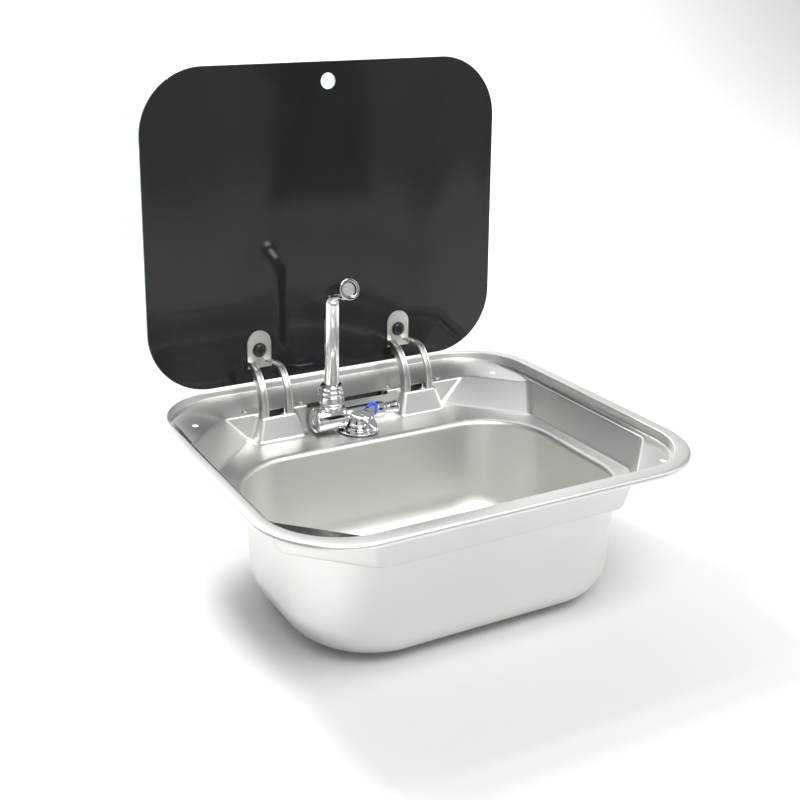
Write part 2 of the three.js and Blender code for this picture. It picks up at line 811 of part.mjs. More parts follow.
// A torsion spring round the pin: one leg under the bridge, one hooked to the right arm.
function hingeSpring() {
  const perTurn = 8;
  const steps = springTurns * perTurn;
  const first = -Math.PI / 2;
  const last = first + springTurns * 2 * Math.PI + degToRad(armEnd);
  const half = (springTurns * springPitch) / 2;
  const underBridge = bracketTop(pivotY - springLeg) - bracketSheet - seatGap - springWire;
  const path = [new THREE.Vector3(-half, -springLeg, underBridge + pivotDrop)];
  for (let i = 0; i <= steps; i++) {
    const a = lerp(first, last, i / steps);
    const x = lerp(-half, half, i / steps);
    path.push(new THREE.Vector3(x, springCoil * Math.cos(a), springCoil * Math.sin(a)));
  }
  const bar = degToRad(armEnd);
  const end = path.at(-1).clone();
  end.add(new THREE.Vector3(0, Math.cos(bar), Math.sin(bar)).multiplyScalar(springHook));
  path.push(end);
  path.push(new THREE.Vector3(armSpread - armThickness - seatGap, end.y, end.z));
  let least = Infinity;
  for (let i = 1; i <= steps; i++) {
    for (let j = i + perTurn / 2; j <= steps; j++) {
      least = Math.min(least, path[i].distanceTo(path[j]) - 2 * springWire);
    }
  }
  console.log(`hinge spring: least gap between turns ${least.toFixed(2)} mm`);
  return solid(loft(wireRings(path, springWire, 5)));
}

// Rings of a round wire along a path, carried without twist from one point to the next.
function wireRings(path, radius, sides) {
  let normal;
  return path.map((p, i) => {
    const next = path[Math.min(i + 1, path.length - 1)];
    const tangent = next.clone().sub(path[Math.max(i - 1, 0)]).normalize();
    normal ??= new THREE.Vector3(1, 0, 0).cross(tangent);
    normal = normal.clone().addScaledVector(tangent, -normal.dot(tangent)).normalize();
    const other = tangent.clone().cross(normal);
    return Array.from({ length: sides }, (_, k) => {
      const a = (k / sides) * 2 * Math.PI;
      const point = p.clone().addScaledVector(normal, radius * Math.cos(a));
      return point.addScaledVector(other, radius * Math.sin(a));
    });
  });
}

function rivet() {
  const grip = sheet + seatGap + bracketSheet;
  const profile = [
    [0, -grip - seatGap - 1.2],
    [2.2, -grip - seatGap - 1.2],
    [2.8, -grip - seatGap - 0.6],
    [2.8, -grip - seatGap],
    [rivetShank, -grip - seatGap],
    [rivetShank, seatGap],
    [rivetHead, seatGap],
    [rivetHead * 0.92, seatGap + rivetHeadHeight * 0.45],
    [rivetHead * 0.6, seatGap + rivetHeadHeight * 0.85],
    [0, seatGap + rivetHeadHeight],
  ];
  return turned(profile, 10);
}

// Screw stack, made along +Y about the screw's axis; the numbers are distances behind the pivot.
const frontWasherBack = tongueFront - seatGap;
const headBack = frontWasherBack - washerThickness - seatGap;
const rearWasherFront = glassFront + glassThickness + seatGap;
const nutFront = rearWasherFront + rearWasherThickness + seatGap;

function lidScrew() {
  const end = nutFront + nutLength - 2.2;
  const profile = [
    [0, headBack - screwHeadHeight],
    [screwHead * 0.45, headBack - screwHeadHeight * 0.97],
    [screwHead * 0.8, headBack - screwHeadHeight * 0.7],
    [screwHead, headBack - screwHeadHeight * 0.25],
    [screwHead, headBack],
    [screwShank, headBack],
    [screwShank, end],
    [0, end],
  ];
  const top = headBack - screwHeadHeight;
  const bar = (w, h) => solid(block(-w / 2, w / 2, top - 1, top + crossDepth, -h / 2, h / 2));
  const cross = [bar(crossLength, crossWidth), bar(crossWidth, crossLength)];
  return cut(solid(alongY(turned(profile, coarse))), ...cross);
}

function capNut() {
  const bore = screwShank + turnGap;
  const profile = [
    [0, nutFront + nutHeight],
    [nutDome, nutFront + nutHeight],
    [nutDome * 0.95, nutFront + nutHeight + (nutLength - nutHeight) * 0.5],
    [nutDome * 0.6, nutFront + nutLength - 0.4],
    [0, nutFront + nutLength],
  ];
  const hex = hexPrism(nutAcross, nutFront, nutFront + nutHeight + 0.5);
  const hole = disc(bore, nutFront - 2, nutFront + nutLength - 1.6, coarse);
  const [body, dome, drill] = [hex, turned(profile, coarse), hole].map((g) => solid(alongY(g)));
  return cut(join(body, dome), drill);
}

// ------------------------------------------------------------------ tap
const gasketLow = -ledgeDepth + seatGap;
const baseLow = gasketLow + gasketThickness + seatGap;

function tapBase() {
  const low = baseLow;
  const profile = [
    [tailRadius + holeGap, low],
    [baseRadius, low],
    [baseRadius, low + baseFlange - 0.5],
    [baseRadius - 0.9, low + baseFlange],
    [pillarRadius + 0.8, low + baseFlange],
    [pillarRadius + 0.8, low + baseThickness - 0.8],
    [pillarRadius, low + baseThickness],
    [tailRadius + holeGap, low + baseThickness],
  ];
  return solid(turnedRing(profile));
}

function tapGasket() {
  const outer = baseRadius - 1;
  return solid(washer(tailRadius + holeGap, outer, gasketLow, gasketLow + gasketThickness));
}

const bodyFoot = baseLow + baseThickness + seatGap;
const knobAxis = new THREE.Vector3(0, -Math.sin(degToRad(knobTilt)), Math.cos(degToRad(knobTilt)));

// Puts a piece made about +Z on the lever's inclined axis.
function onKnobAxis(geometry) {
  geometry.rotateX(degToRad(knobTilt));
  return geometry.translate(knobX, knobY, -knobDrop);
}

function tapBody() {
  const waist = pillarRadius - 1;
  const pillar = turned(
    [
      [0, bodyFoot],
      [waist, bodyFoot],
      [waist + 1, bodyFoot + 2],
      [waist, bodyFoot + 6],
      [waist * 0.75, bodyFoot + 11],
      [0, bodyFoot + 12],
    ],
    fine,
  ).translate(pillarX, pillarY, 0);
  const barrel = turned(
    [
      [0, hubLeft + 1],
      [spigotRadius, hubLeft + 1],
      [spigotRadius, barrelLeft],
      [barrelRadius, barrelLeft],
      [barrelRadius, barrelRight - 1],
      [barrelRadius - 1, barrelRight],
      [0, barrelRight],
    ],
    fine,
  );
  alongX(barrel).translate(0, tapY, -barrelDrop);
  const top = -knobThickness / 2 - seatGap;
  const bonnet = onKnobAxis(disc(bonnetRadius, top - bonnetHeight, top, coarse));
  const bore = onKnobAxis(disc(spindleRadius + turnGap, top - spindleDepth, top + 3, coarse));
  const swept = onKnobAxis(disc(knobTip + markThickness + 1, top, top + 2 * knobThickness));
  return cut(join(solid(pillar), solid(barrel), solid(bonnet)), solid(bore), solid(swept));
}

// A plain closing plug on the right end of the barrel.
function tapPlug() {
  const profile = [
    [0, 0],
    [plugRadius, 0],
    [plugRadius, plugLength - 4],
    [plugRadius + 0.8, plugLength - 4],
    [plugRadius + 0.8, plugLength - 1],
    [plugRadius - 0.4, plugLength],
    [0, plugLength],
  ];
  return solid(alongX(turned(profile, coarse)));
}

function tapTail() {
  const profile = [
    [tailBore, -tailDrop],
    [tailRadius - 0.6, -tailDrop],
    [tailRadius, -tailDrop + 0.8],
    [tailRadius, bodyFoot - seatGap],
    [tailBore, bodyFoot - seatGap],
  ];
  return solid(turnedRing(profile, coarse));
}

const clampWasherTop = -ledgeDepth - sheet - seatGap;

function clampNut() {
  const high = clampWasherTop - clampWasherThickness - seatGap;
  const nut = hexPrism(clampNutAcross, high - clampNutHeight, high);
  const bore = disc(tailRadius + turnGap, high - clampNutHeight - 2, high + 2);
  return cut(solid(nut), solid(bore));
}

function tapInlet() {
  const high = -tailDrop - seatGap;
  const profile = [
    [inletBore, high],
    [tailRadius + 2, high],
    [tailRadius + 2, high - 4],
    [inletRadius, high - 5],
  ];
  const barbs = 3;
  const pitch = (inletLength - 6) / barbs;
  for (let i = 0; i < barbs; i++) {
    const from = high - 5.5 - i * pitch;
    profile.push([inletRadius, from], [inletRadius + 0.8, from], [inletRadius, from - pitch + 0.3]);
  }
  profile.push([inletRadius, high - inletLength], [inletBore, high - inletLength]);
  return solid(turnedRing(profile, coarse));
}

// The folding hub turns on the barrel's spigot. It is made about the barrel's axis.
function tapHub() {
  const shell = washer(spigotRadius + turnGap, hubRadius, hubLeft, hubRight);
  const neck = turned([
    [0, 0],
    [hubRadius - 4, 0],
    [hubRadius - 4, barrelDrop + neckTop - 7],
    [neckRadius, barrelDrop + neckTop - 1.5],
    [neckRadius, barrelDrop + neckTop],
    [0, barrelDrop + neckTop],
  ]);
  const bore = disc(spigotRadius + turnGap, hubLeft - 1, hubRight + 1);
  const groove = turnedRing([
    [hubRadius - 0.7, hubRight - 4],
    [hubRadius + 2, hubRight - 4],
    [hubRadius + 2, hubRight - 3.2],
    [hubRadius - 0.7, hubRight - 3.2],
  ]);
  const body = join(solid(alongX(shell)), solid(neck.translate(spoutX, 0, 0)));
  return cut(body, solid(alongX(bore)), solid(alongX(groove)));
}

function endCap() {
  const low = hubLeft - seatGap - endCapLength;
  const profile = [
    [0, low + 1.2],
    [4, low + 1.2],
    [4.6, low + 0.6],
    [8.2, low + 0.6],
    [8.8, low],
    [endCapRadius - 1.6, low],
    [endCapRadius, low + 1],
    [endCapRadius, hubLeft - seatGap],
    [0, hubLeft - seatGap],
  ];
  return solid(alongX(turned(profile)));
}

function collarNut() {
  const low = barrelDrop + neckTop + seatGap;
  const high = barrelDrop + collarTop;
  const bore = spoutRadius + turnGap;
  const waist = lerp(low, high, 0.48);
  const profile = [
    [bore, low],
    [collarRadius - 1, low],
    [collarRadius, low + 1],
    [collarRadius, waist - 1],
    [collarRadius - 1.2, waist],
    [collarRadius, waist + 1],
    [collarRadius, high - 6],
    [collarRadius - 1.4, high - 4.6],
    [collarRadius - 1.4, high - 1.6],
    [collarRadius - 3, high],
    [bore, high],
  ];
  return solid(turnedRing(profile));
}

// The spout's centre line in the Y-Z plane, about the barrel's axis: up, round and forward.
function spoutStations() {
  const foot = barrelDrop + neckTop + seatGap;
  const bendZ = barrelDrop + spoutStraight;
  const turn = degToRad(90 - spoutRise);
  const stations = [
    { y: 0, z: foot, angle: 0 },
    { y: 0, z: bendZ, angle: 0 },
  ];
  const steps = 6;
  for (let i = 1; i <= steps; i++) {
    const angle = (turn * i) / steps;
    const y = -spoutBend * (1 - Math.cos(angle));
    const z = bendZ + spoutBend * Math.sin(angle);
    stations.push({ y, z, angle });
  }
  return stations;
}

function spoutEnd(distance) {
  const { y, z, angle } = spoutStations().at(-1);
  return { y: y - distance * Math.sin(angle), z: z + distance * Math.cos(angle), angle };
}

function pipe(stations, radius, sides) {
  const rings = stations.map(({ y, z, angle }) =>
    Array.from({ length: sides }, (_, k) => {
      const a = (k / sides) * 2 * Math.PI;
      const across = radius * Math.sin(a);
      return new THREE.Vector3(
        radius * Math.cos(a),
        y + across * Math.cos(angle),
        z + across * Math.sin(angle),
      );
    }),
  );
  return solid(loft(rings));
}

function spoutTube() {
  const line = [...spoutStations(), spoutEnd(spoutArm)];
  const [first] = line;
  const run = [{ ...first, z: first.z - 5 }, ...line.slice(1, -1), spoutEnd(spoutArm + 5)];
  return cut(pipe(line, spoutRadius, fine), pipe(run, spoutRadius - spoutWall, 10));
}

// Puts a piece made about +Z on the spout's arm, `distance` from the end of its bend.
function onSpoutArm(geometry, distance) {
  const { y, z, angle } = spoutEnd(distance);
  return geometry.rotateX(angle).translate(0, y, z);
}

function aeratorHousing() {
  const bore = spoutRadius + turnGap;
  const lip = screenRadius + 0.9;
  const profile = [
    [bore, 0],
    [aeratorRadius - 1.4, 0],
    [aeratorRadius, 1.6],
    [aeratorRadius, aeratorLength - 0.8],
    [aeratorRadius - 0.8, aeratorLength],
    [aeratorRadius - aeratorWall, aeratorLength],
    [lip, aeratorLength - 1.4],
    [lip, aeratorLength - 4],
    [bore, aeratorLength - 4],
  ];
  return solid(onSpoutArm(turnedRing(profile), spoutArm - aeratorLength + 5));
}

function aeratorScreen() {
  const low = aeratorLength - 3.4;
  const profile = [
    [0, low],
    [screenRadius, low],
    [screenRadius, low + screenThickness],
    [screenRadius - 1.2, low + screenThickness + 0.5],
    [0, low + screenThickness + 0.5],
  ];
  return solid(onSpoutArm(turned(profile), spoutArm - aeratorLength + 5));
}

// Radius of the lever's outline at an angle: three narrow lobes on a round core.
function knobOutline(angle) {
  const swing = 0.5 + 0.5 * Math.cos(knobLobes * (angle - degToRad(knobFirstLobe)));
  return lerp(knobCore, knobTip, swing ** 2.6);
}

// Points of the outline between two angles, moved outwards by `grow`.
function outlinePoints(from, to, count, grow) {
  const at = (a) => {
    const r = knobOutline(a);
    return new THREE.Vector2(r * Math.cos(a), r * Math.sin(a));
  };
  return Array.from({ length: count }, (_, i) => {
    const a = degToRad(lerp(from, to, i / (count - 1)));
    const along = at(a + 0.01).sub(at(a - 0.01)).normalize();
    return at(a).add(new THREE.Vector2(along.y, -along.x).multiplyScalar(grow));
  });
}

function knob() {
  const points = outlinePoints(0, 360, 55, -knobEdge).slice(0, -1);
  const lever = new THREE.ExtrudeGeometry(new THREE.Shape(points), {
    depth: knobThickness - 2 * knobEdge,
    bevelThickness: knobEdge,
    bevelSize: knobEdge,
    bevelSegments: 1,
  });
  lever.translate(0, 0, -knobThickness / 2 + knobEdge);
  const cap = turned([
    [0, 0],
    [knobCore - 1.6, 0],
    [knobCore - 1.6, knobThickness / 2 + 0.4],
    [knobCore - 3, knobThickness / 2 + 1.2],
    [0, knobThickness / 2 + 1.5],
  ]);
  const bore = disc(spindleRadius + turnGap, -knobThickness, 1, coarse);
  return cut(join(solid(lever), solid(cap)), solid(bore));
}

function knobMark() {
  const [from, to] = [knobFirstLobe - markSpan, knobFirstLobe + markSpan];
  const near = outlinePoints(from, to, 9, seatGap);
  const far = outlinePoints(from, to, 9, seatGap + markThickness).reverse();
  const shape = new THREE.Shape([...near, ...far]);
  const strip = new THREE.ExtrudeGeometry(shape, { depth: markHeight, bevelEnabled: false });
  return solid(strip.translate(0, 0, -markHeight / 2));
}

function knobSpindle() {
  const low = -knobThickness / 2 - seatGap - spindleDepth + seatGap;
  return solid(disc(spindleRadius, low, 0.7, coarse));
}

// ------------------------------------------------------------------ assembly
function addMesh(parent, name, body, finish) {
  const material = new THREE.MeshStandardMaterial(finishes[finish]);
  const mesh = new THREE.Mesh(geometryOf(body), material);
  mesh.name = name;
  parent.add(mesh);
  return mesh;
}

function group(parent, x, y, z) {
  const made = new THREE.Group();
  made.position.set(x, y, z);
  parent.add(made);
  return made;
}

const sink = new THREE.Group();
sink.name = "rv_sink_with_glass_lid";
const fromRim = group(sink, 0, 0, bowlHeight);

addMesh(fromRim, "sink_pan", sinkPan(), "satinSteel");

// Lid and hinges
const lid = group(fromRim, 0, pivotY, -pivotDrop);
lid.rotation.x = -degToRad(lidLean);
addMesh(lid, "glass_lid", glassLid(), "blackGlass");
for (const [label, x] of [["left", -hingeX], ["right", hingeX]]) {
  const swinging = group(lid, x, 0, 0);
  addMesh(swinging, `${label}_hinge_arm`, hingeArm(), "hingeSteel");
  const screws = group(swinging, 0, 0, screwHeight);
  const hole = screwShank + holeGap;
  const front = washer(hole, frontWasher, frontWasherBack - washerThickness, frontWasherBack);
  const rear = washer(hole, rearWasher, rearWasherFront, rearWasherFront + rearWasherThickness);
  addMesh(screws, `${label}_lid_screw`, lidScrew(), "blackPlastic");
  addMesh(screws, `${label}_front_washer`, solid(alongY(front)), "blackRubber");
  addMesh(screws, `${label}_rear_washer`, solid(alongY(rear)), "blackRubber");
  addMesh(screws, `${label}_cap_nut`, capNut(), "blackPlastic");

  const fixed = group(fromRim, x, 0, 0);
  addMesh(fixed, `${label}_hinge_bracket`, hingeBracket(), "hingeSteel");
  const pivot = group(fixed, 0, pivotY, -pivotDrop);
  addMesh(pivot, `${label}_hinge_pin`, hingePin(), "hingeSteel");
  addMesh(pivot, `${label}_hinge_spring`, hingeSpring(), "springSteel");
  for (const [place, offset] of [["outer", x < 0 ? -1 : 1], ["inner", x < 0 ? 1 : -1]]) {
    const body = solid(onStrip(rivet(), offset * rivetOffset));
    addMesh(fixed, `${label}_${place}_rivet`, body, "hingeSteel");
  }
}

// Tap, fixed part
const pillar = group(fromRim, pillarX, pillarY, 0);
addMesh(pillar, "tap_base", tapBase(), "chrome");
addMesh(pillar, "tap_gasket", tapGasket(), "blackRubber");
addMesh(pillar, "tap_tail", tapTail(), "brass");
const bearing = [clampWasherTop - clampWasherThickness, clampWasherTop];
const clamp = washer(tailRadius + holeGap, clampWasher, ...bearing);
addMesh(pillar, "tap_clamp_washer", solid(clamp), "satinSteel");
addMesh(pillar, "tap_clamp_nut", clampNut(), "brass");
addMesh(pillar, "tap_inlet", tapInlet(), "brass");
addMesh(fromRim, "tap_body", tapBody(), "chrome");
const barrel = group(fromRim, 0, tapY, -barrelDrop);
const plug = addMesh(barrel, "tap_plug", tapPlug(), "chrome");
plug.position.x = barrelRight + seatGap;

// Tap, folding part and spout
addMesh(barrel, "tap_hub", tapHub(), "chrome");
addMesh(barrel, "tap_end_cap", endCap(), "chrome");
const spout = group(barrel, spoutX, 0, 0);
addMesh(spout, "tap_collar", collarNut(), "chrome");
addMesh(spout, "spout_tube", spoutTube(), "chrome");
addMesh(spout, "aerator_housing", aeratorHousing(), "chrome");
addMesh(spout, "aerator_screen", aeratorScreen(), "screenGrey");

// Lever
const lever = group(fromRim, knobX, knobY, -knobDrop);
lever.rotation.x = degToRad(knobTilt);
addMesh(lever, "tap_knob", knob(), "chrome");
addMesh(lever, "knob_mark", knobMark(), "blueMark");
addMesh(lever, "knob_spindle", knobSpindle(), "brass");

export default sink;
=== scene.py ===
"""Looks of a drop-in galley sink with a folding glass lid and a folding cold tap.

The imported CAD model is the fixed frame. The sink's sizes are in millimetres, measured like the
frame's own: X to the right, Y to the back, and heights from the top of the sink's rim, which
stands RIM_HEIGHT above the floor. The studio's lamps, cards and floor are laid out in metres.
"""

import logging
import math
from collections.abc import Callable, Iterable, Sequence
from dataclasses import dataclass, field
from enum import Enum

import bmesh
import bpy
import numpy as np
from mathutils import Matrix, Vector


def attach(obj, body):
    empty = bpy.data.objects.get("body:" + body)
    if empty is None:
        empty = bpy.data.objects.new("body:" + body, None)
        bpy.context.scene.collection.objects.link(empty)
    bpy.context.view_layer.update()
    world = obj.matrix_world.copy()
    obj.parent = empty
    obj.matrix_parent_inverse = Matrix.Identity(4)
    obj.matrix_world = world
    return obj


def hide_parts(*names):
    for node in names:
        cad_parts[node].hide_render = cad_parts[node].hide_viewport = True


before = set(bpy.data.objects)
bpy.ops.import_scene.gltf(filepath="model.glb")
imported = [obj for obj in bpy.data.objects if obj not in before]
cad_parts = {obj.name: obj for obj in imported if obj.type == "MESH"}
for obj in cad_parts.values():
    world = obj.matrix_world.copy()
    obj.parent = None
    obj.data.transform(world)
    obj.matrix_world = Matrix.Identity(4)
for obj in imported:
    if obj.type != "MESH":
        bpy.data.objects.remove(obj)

LOG = logging.getLogger("galley_sink")
MM = 0.001
RIM_HEIGHT = 145.0
SEAT_GAP = 0.3
SHEET = 0.8
# Creases are in degrees: faces that meet at a larger angle stay sharp.
CREASE = 32.0
FINE_CREASE = 24.0
ROUNDING_STEPS = 5

Point = tuple[float, float, float]
Outline = Sequence[tuple[float, float]]
Profile = Sequence[tuple[float, float, float]]
Stops = Sequence[tuple[float, Sequence[float]]]


class Body(Enum):
    """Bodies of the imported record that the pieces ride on."""

    BASIN = "basin"
    LID = "lid"
    HUB = "folding_hub"
    SPOUT = "spout"
    LEVER = "lever"


class Slot(Enum):
    """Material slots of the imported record."""

    PAN = "pan_steel"
    HINGE = "hinge_steel"
    SPRING = "spring_steel"
    GLASS = "black_glass"
    PLASTIC = "black_plastic"
    RUBBER = "rubber"
    CHROME = "chrome"
    SCREEN = "screen"
    MARK = "blue_mark"
    BRASS = "brass"


# ------------------------------------------------------------------ shader writing
class Graph:
    """The node tree of one material, with its Principled shader."""

    def __init__(self, name: str) -> None:
        """Starts a material with an output and a Principled shader.

        Args:
            name: the material's name.
        """
        self.material = bpy.data.materials.new(name)
        self.material.use_nodes = True
        self.tree = self.material.node_tree
        self.tree.nodes.clear()
        self.shader = self.tree.nodes.new("ShaderNodeBsdfPrincipled")
        output = self.tree.nodes.new("ShaderNodeOutputMaterial")
        self.tree.links.new(self.shader.outputs[0], output.inputs["Surface"])

    def node(self, kind: str, settings: dict[str, object], inputs: dict[object, object],
             output: object = 0) -> "Wire":
        """Adds one node.

        Args:
            kind: the node's type name.
            settings: attributes that are set first; "stops" fills a colour ramp.
            inputs: values or wires for its sockets, by name or number.
            output: the socket that is handed back, by name or number.

        Returns:
            The chosen output as a wire.
        """
        made = self.tree.nodes.new(kind)
        for key, value in settings.items():
            if key == "stops":
                self._fill_ramp(made.color_ramp, value)
            else:
                setattr(made, key, value)
        for key, value in inputs.items():
            if isinstance(value, Wire):
                self.tree.links.new(value.socket, made.inputs[key])
            else:
                made.inputs[key].default_value = value
        return Wire(self, made.outputs[output])

    @staticmethod
    def _fill_ramp(ramp: bpy.types.ColorRamp, stops: Stops) -> None:
        """Sets a ramp's stops.

        Args:
            ramp: the ramp of a new node.
            stops: the place and the colour of each stop.
        """
        while len(ramp.elements) < len(stops):
            ramp.elements.new(1.0)
        for element, (place, colour) in zip(ramp.elements, stops):
            element.position = place
            element.color = (*colour, 1.0)

    def place(self) -> "Wire":
        """Hands back the object coordinates."""
        return self.node("ShaderNodeTexCoord", {}, {}, "Object")

    def stretched(self, scale: Point) -> "Wire":
        """Hands back object coordinates scaled along each axis."""
        return self.node("ShaderNodeMapping", {}, {"Vector": self.place(), "Scale": scale})

    def noise(self, where: "Wire", scale: float, detail: float = 2.0, rough: float = 0.5) -> "Wire":
        """Hands back a noise between 0 and 1 at the given coordinates."""
        sockets = {"Vector": where, "Scale": scale, "Detail": detail, "Roughness": rough}
        return self.node("ShaderNodeTexNoise", {}, sockets, 0)

    def ramp(self, value: "Wire", stops: Stops) -> "Wire":
        """Hands back a value passed through a colour ramp."""
        return self.node("ShaderNodeValToRGB", {"stops": stops}, {0: value}, 0)

    def bump(self, height: "Wire", strength: float, distance: float) -> None:
        """Feeds a bump into the shader's normal.

        Args:
            height: the height over the surface.
            strength: share of the bump that shows.
            distance: height of a full step, in metres.
        """
        sockets = {"Height": height, "Strength": strength, "Distance": distance}
        self.feed("Normal", self.node("ShaderNodeBump", {}, sockets))

    def feed(self, socket: str, value: object) -> None:
        """Sets or links one socket of the shader.

        Args:
            socket: the socket's name.
            value: a plain value, or a wire.
        """
        if isinstance(value, Wire):
            self.tree.links.new(value.socket, self.shader.inputs[socket])
        else:
            self.shader.inputs[socket].default_value = value


class Wire:
    """A socket that shader maths can be written with."""

    def __init__(self, graph: Graph, socket: bpy.types.NodeSocket) -> None:
        """Keeps the graph and the socket."""
        self.graph = graph
        self.socket = socket

    def _math(self, operation: str, first: object, second: object) -> "Wire":
        """Adds one Math node and hands back its value."""
        return self.graph.node("ShaderNodeMath", {"operation": operation}, {0: first, 1: second})

    def __add__(self, other: object) -> "Wire":
        """Adds."""
        return self._math("ADD", self, other)

    def __radd__(self, other: object) -> "Wire":
        """Adds, reflected."""
        return self._math("ADD", other, self)

    def __sub__(self, other: object) -> "Wire":
        """Subtracts."""
        return self._math("SUBTRACT", self, other)

    def __rsub__(self, other: object) -> "Wire":
        """Subtracts, reflected."""
        return self._math("SUBTRACT", other, self)

    def __mul__(self, other: object) -> "Wire":
        """Multiplies."""
        return self._math("MULTIPLY", self, other)

    def __rmul__(self, other: object) -> "Wire":
        """Multiplies, reflected."""
        return self._math("MULTIPLY", other, self)


# ------------------------------------------------------------------ finishes
@dataclass(frozen=True)
class Steel:
    """Rolled stainless steel: fine grain along X, soft cloudy gloss, glossier where it is gripped."""

    name: str
    colour: Point
    roughness: float
    grain: float = 0.0002
    pinched: bool = False
    gripped_roughness: float = 0.22

    def make(self) -> bpy.types.Material:
        """Builds the material.

        Returns:
            The material.
        """
        g = Graph(self.name)
        cloud = g.noise(g.place(), 9.0, 3.0)
        grain = g.noise(g.stretched((30.0, 900.0, 900.0)), 1.0, 3.0)
        low = tuple(c * 0.96 for c in self.colour)
        shade = g.ramp(cloud, [(0.3, low), (0.7, self.colour)])
        rough = self.roughness + (cloud - 0.5) * 0.06 + (grain - 0.5) * 0.05
        if self.pinched:
            gripped = g.node("ShaderNodeAttribute", {"attribute_name": "pinched"}, {}, "Fac")
            rough = rough - gripped * (self.roughness - self.gripped_roughness)
        g.feed("Base Color", shade)
        g.feed("Metallic", 1.0)
        g.feed("Roughness", rough)
        g.bump(grain, 0.06, self.grain)
        return g.material


@dataclass(frozen=True)
class Chrome:
    """Bright plating with faint wipe marks."""

    name: str
    colour: Point = (0.83, 0.84, 0.85)

    def make(self) -> bpy.types.Material:
        """Builds the material.

        Returns:
            The material.
        """
        g = Graph(self.name)
        wipe = g.noise(g.place(), 160.0, 4.0, 0.6)
        dull = tuple(c * 0.95 for c in self.colour)
        g.feed("Base Color", g.ramp(wipe, [(0.35, dull), (0.65, self.colour)]))
        g.feed("Metallic", 1.0)
        g.feed("Roughness", 0.045 + wipe * 0.05)
        g.bump(wipe, 0.04, 0.0002)
        return g.material


@dataclass(frozen=True)
class PrintedGlass:
    """Toughened glass printed black on its back, with a trace of smear, and edges painted light green: the
    glass's own green edge tint, lightened as a painted highlight.
    """

    name: str
    colour: Point = (0.0148, 0.0150, 0.0162)

    def make(self) -> bpy.types.Material:
        """Builds the material.

        Returns:
            The material.
        """
        g = Graph(self.name)
        smear = g.noise(g.stretched((6.0, 6.0, 2.5)), 2.2, 4.0, 0.55)
        light = tuple(c * 1.35 for c in self.colour)
        face = g.ramp(smear, [(0.3, self.colour), (0.75, light)])
        # The edge faces get a light green: the glass's own edge tint, made lighter as a painted highlight.
        edge = g.node("ShaderNodeAttribute", {"attribute_name": "edge"}, {}, "Fac")
        sockets = {"Factor": edge, 6: face, 7: (0.42, 0.52, 0.48, 1.0)}
        g.feed("Base Color", g.node("ShaderNodeMix", {"data_type": "RGBA"}, sockets, 2))
        g.feed("Roughness", 0.05 + smear * 0.07)
        g.feed("IOR", 1.38)
        return g.material


@dataclass(frozen=True)
class Moulded:
    """Plain moulded plastic or rubber with a fine skin texture."""

    name: str
    colour: Point
    roughness: float
    skin: float = 900.0

    def make(self) -> bpy.types.Material:
        """Builds the material.

        Returns:
            The material.
        """
        g = Graph(self.name)
        skin = g.noise(g.place(), self.skin, 3.0)
        light = tuple(min(c * 1.35 + 0.002, 1.0) for c in self.colour)
        g.feed("Base Color", g.ramp(skin, [(0.3, self.colour), (0.75, light)]))
        g.feed("Roughness", self.roughness + (skin - 0.5) * 0.12)
        g.bump(skin, 0.15, 0.0002)
        return g.material


@dataclass(frozen=True)
class Brass:
    """Turned brass with tool rings."""

    name: str
    colour: Point = (0.62, 0.47, 0.21)

    def make(self) -> bpy.types.Material:
        """Builds the material.

        Returns:
            The material.
        """
        g = Graph(self.name)
        rings = g.noise(g.stretched((60.0, 60.0, 1600.0)), 1.0, 2.0)
        tarnish = g.noise(g.place(), 80.0, 3.0)
        dull = tuple(c * 0.75 for c in self.colour)
        g.feed("Base Color", g.ramp(tarnish, [(0.35, dull), (0.6, self.colour)]))
        g.feed("Metallic", 1.0)
        g.feed("Roughness", 0.22 + rings * 0.16)
        g.bump(rings, 0.2, 0.0003)
        return g.material


@dataclass(frozen=True)
class WireGauze:
    """The aerator's pale woven screen."""

    name: str
    pitch: float = 0.0011

    def make(self) -> bpy.types.Material:
        """Builds the material.

        Returns:
            The material.
        """
        g = Graph(self.name)
        turn = 2 * math.pi / self.pitch
        waves = []
        for axis in ("X", "Z"):
            along = g.node("ShaderNodeSeparateXYZ", {}, {0: g.place()}, axis)
            waves.append(g.node("ShaderNodeMath", {"operation": "SINE"}, {0: along * turn}))
        weave = g.node("ShaderNodeMath", {"operation": "MAXIMUM"}, {0: waves[0], 1: waves[1]})
        threads = weave * 0.5 + 0.5
        g.feed("Base Color", g.ramp(threads, [(0.3, (0.17, 0.17, 0.165)), (0.8, (0.5, 0.5, 0.48))]))
        g.feed("Metallic", 0.3)
        g.feed("Roughness", 0.45)
        g.bump(threads, 0.6, 0.0004)
        return g.material


@dataclass(frozen=True)
class StudioPaint:
    """The pale floor and backdrop."""

    name: str
    colour: Point

    def make(self) -> bpy.types.Material:
        """Builds the material.

        Returns:
            The material.
        """
        g = Graph(self.name)
        g.feed("Base Color", (*self.colour, 1.0))
        g.feed("Roughness", 0.85)
        g.feed("Specular IOR Level", 0.1)
        return g.material


FINISHES: dict[Slot, bpy.types.Material] = {
    Slot.PAN: Steel("satin_pan_steel", (0.79, 0.78, 0.75), 0.42, pinched=True).make(),
    Slot.HINGE: Steel("hinge_steel", (0.72, 0.71, 0.68), 0.3).make(),
    Slot.SPRING: Steel("spring_wire", (0.45, 0.44, 0.42), 0.3).make(),
    Slot.GLASS: PrintedGlass("black_printed_glass").make(),
    Slot.PLASTIC: Moulded("black_screw", (0.012, 0.012, 0.012), 0.33).make(),
    Slot.RUBBER: Moulded("black_rubber", (0.02, 0.02, 0.02), 0.75).make(),
    Slot.CHROME: Chrome("bright_chrome").make(),
    Slot.SCREEN: WireGauze("aerator_gauze").make(),
    Slot.MARK: Moulded("blue_mark", (0.01, 0.12, 0.75), 0.42).make(),
    Slot.BRASS: Brass("turned_brass").make(),
}


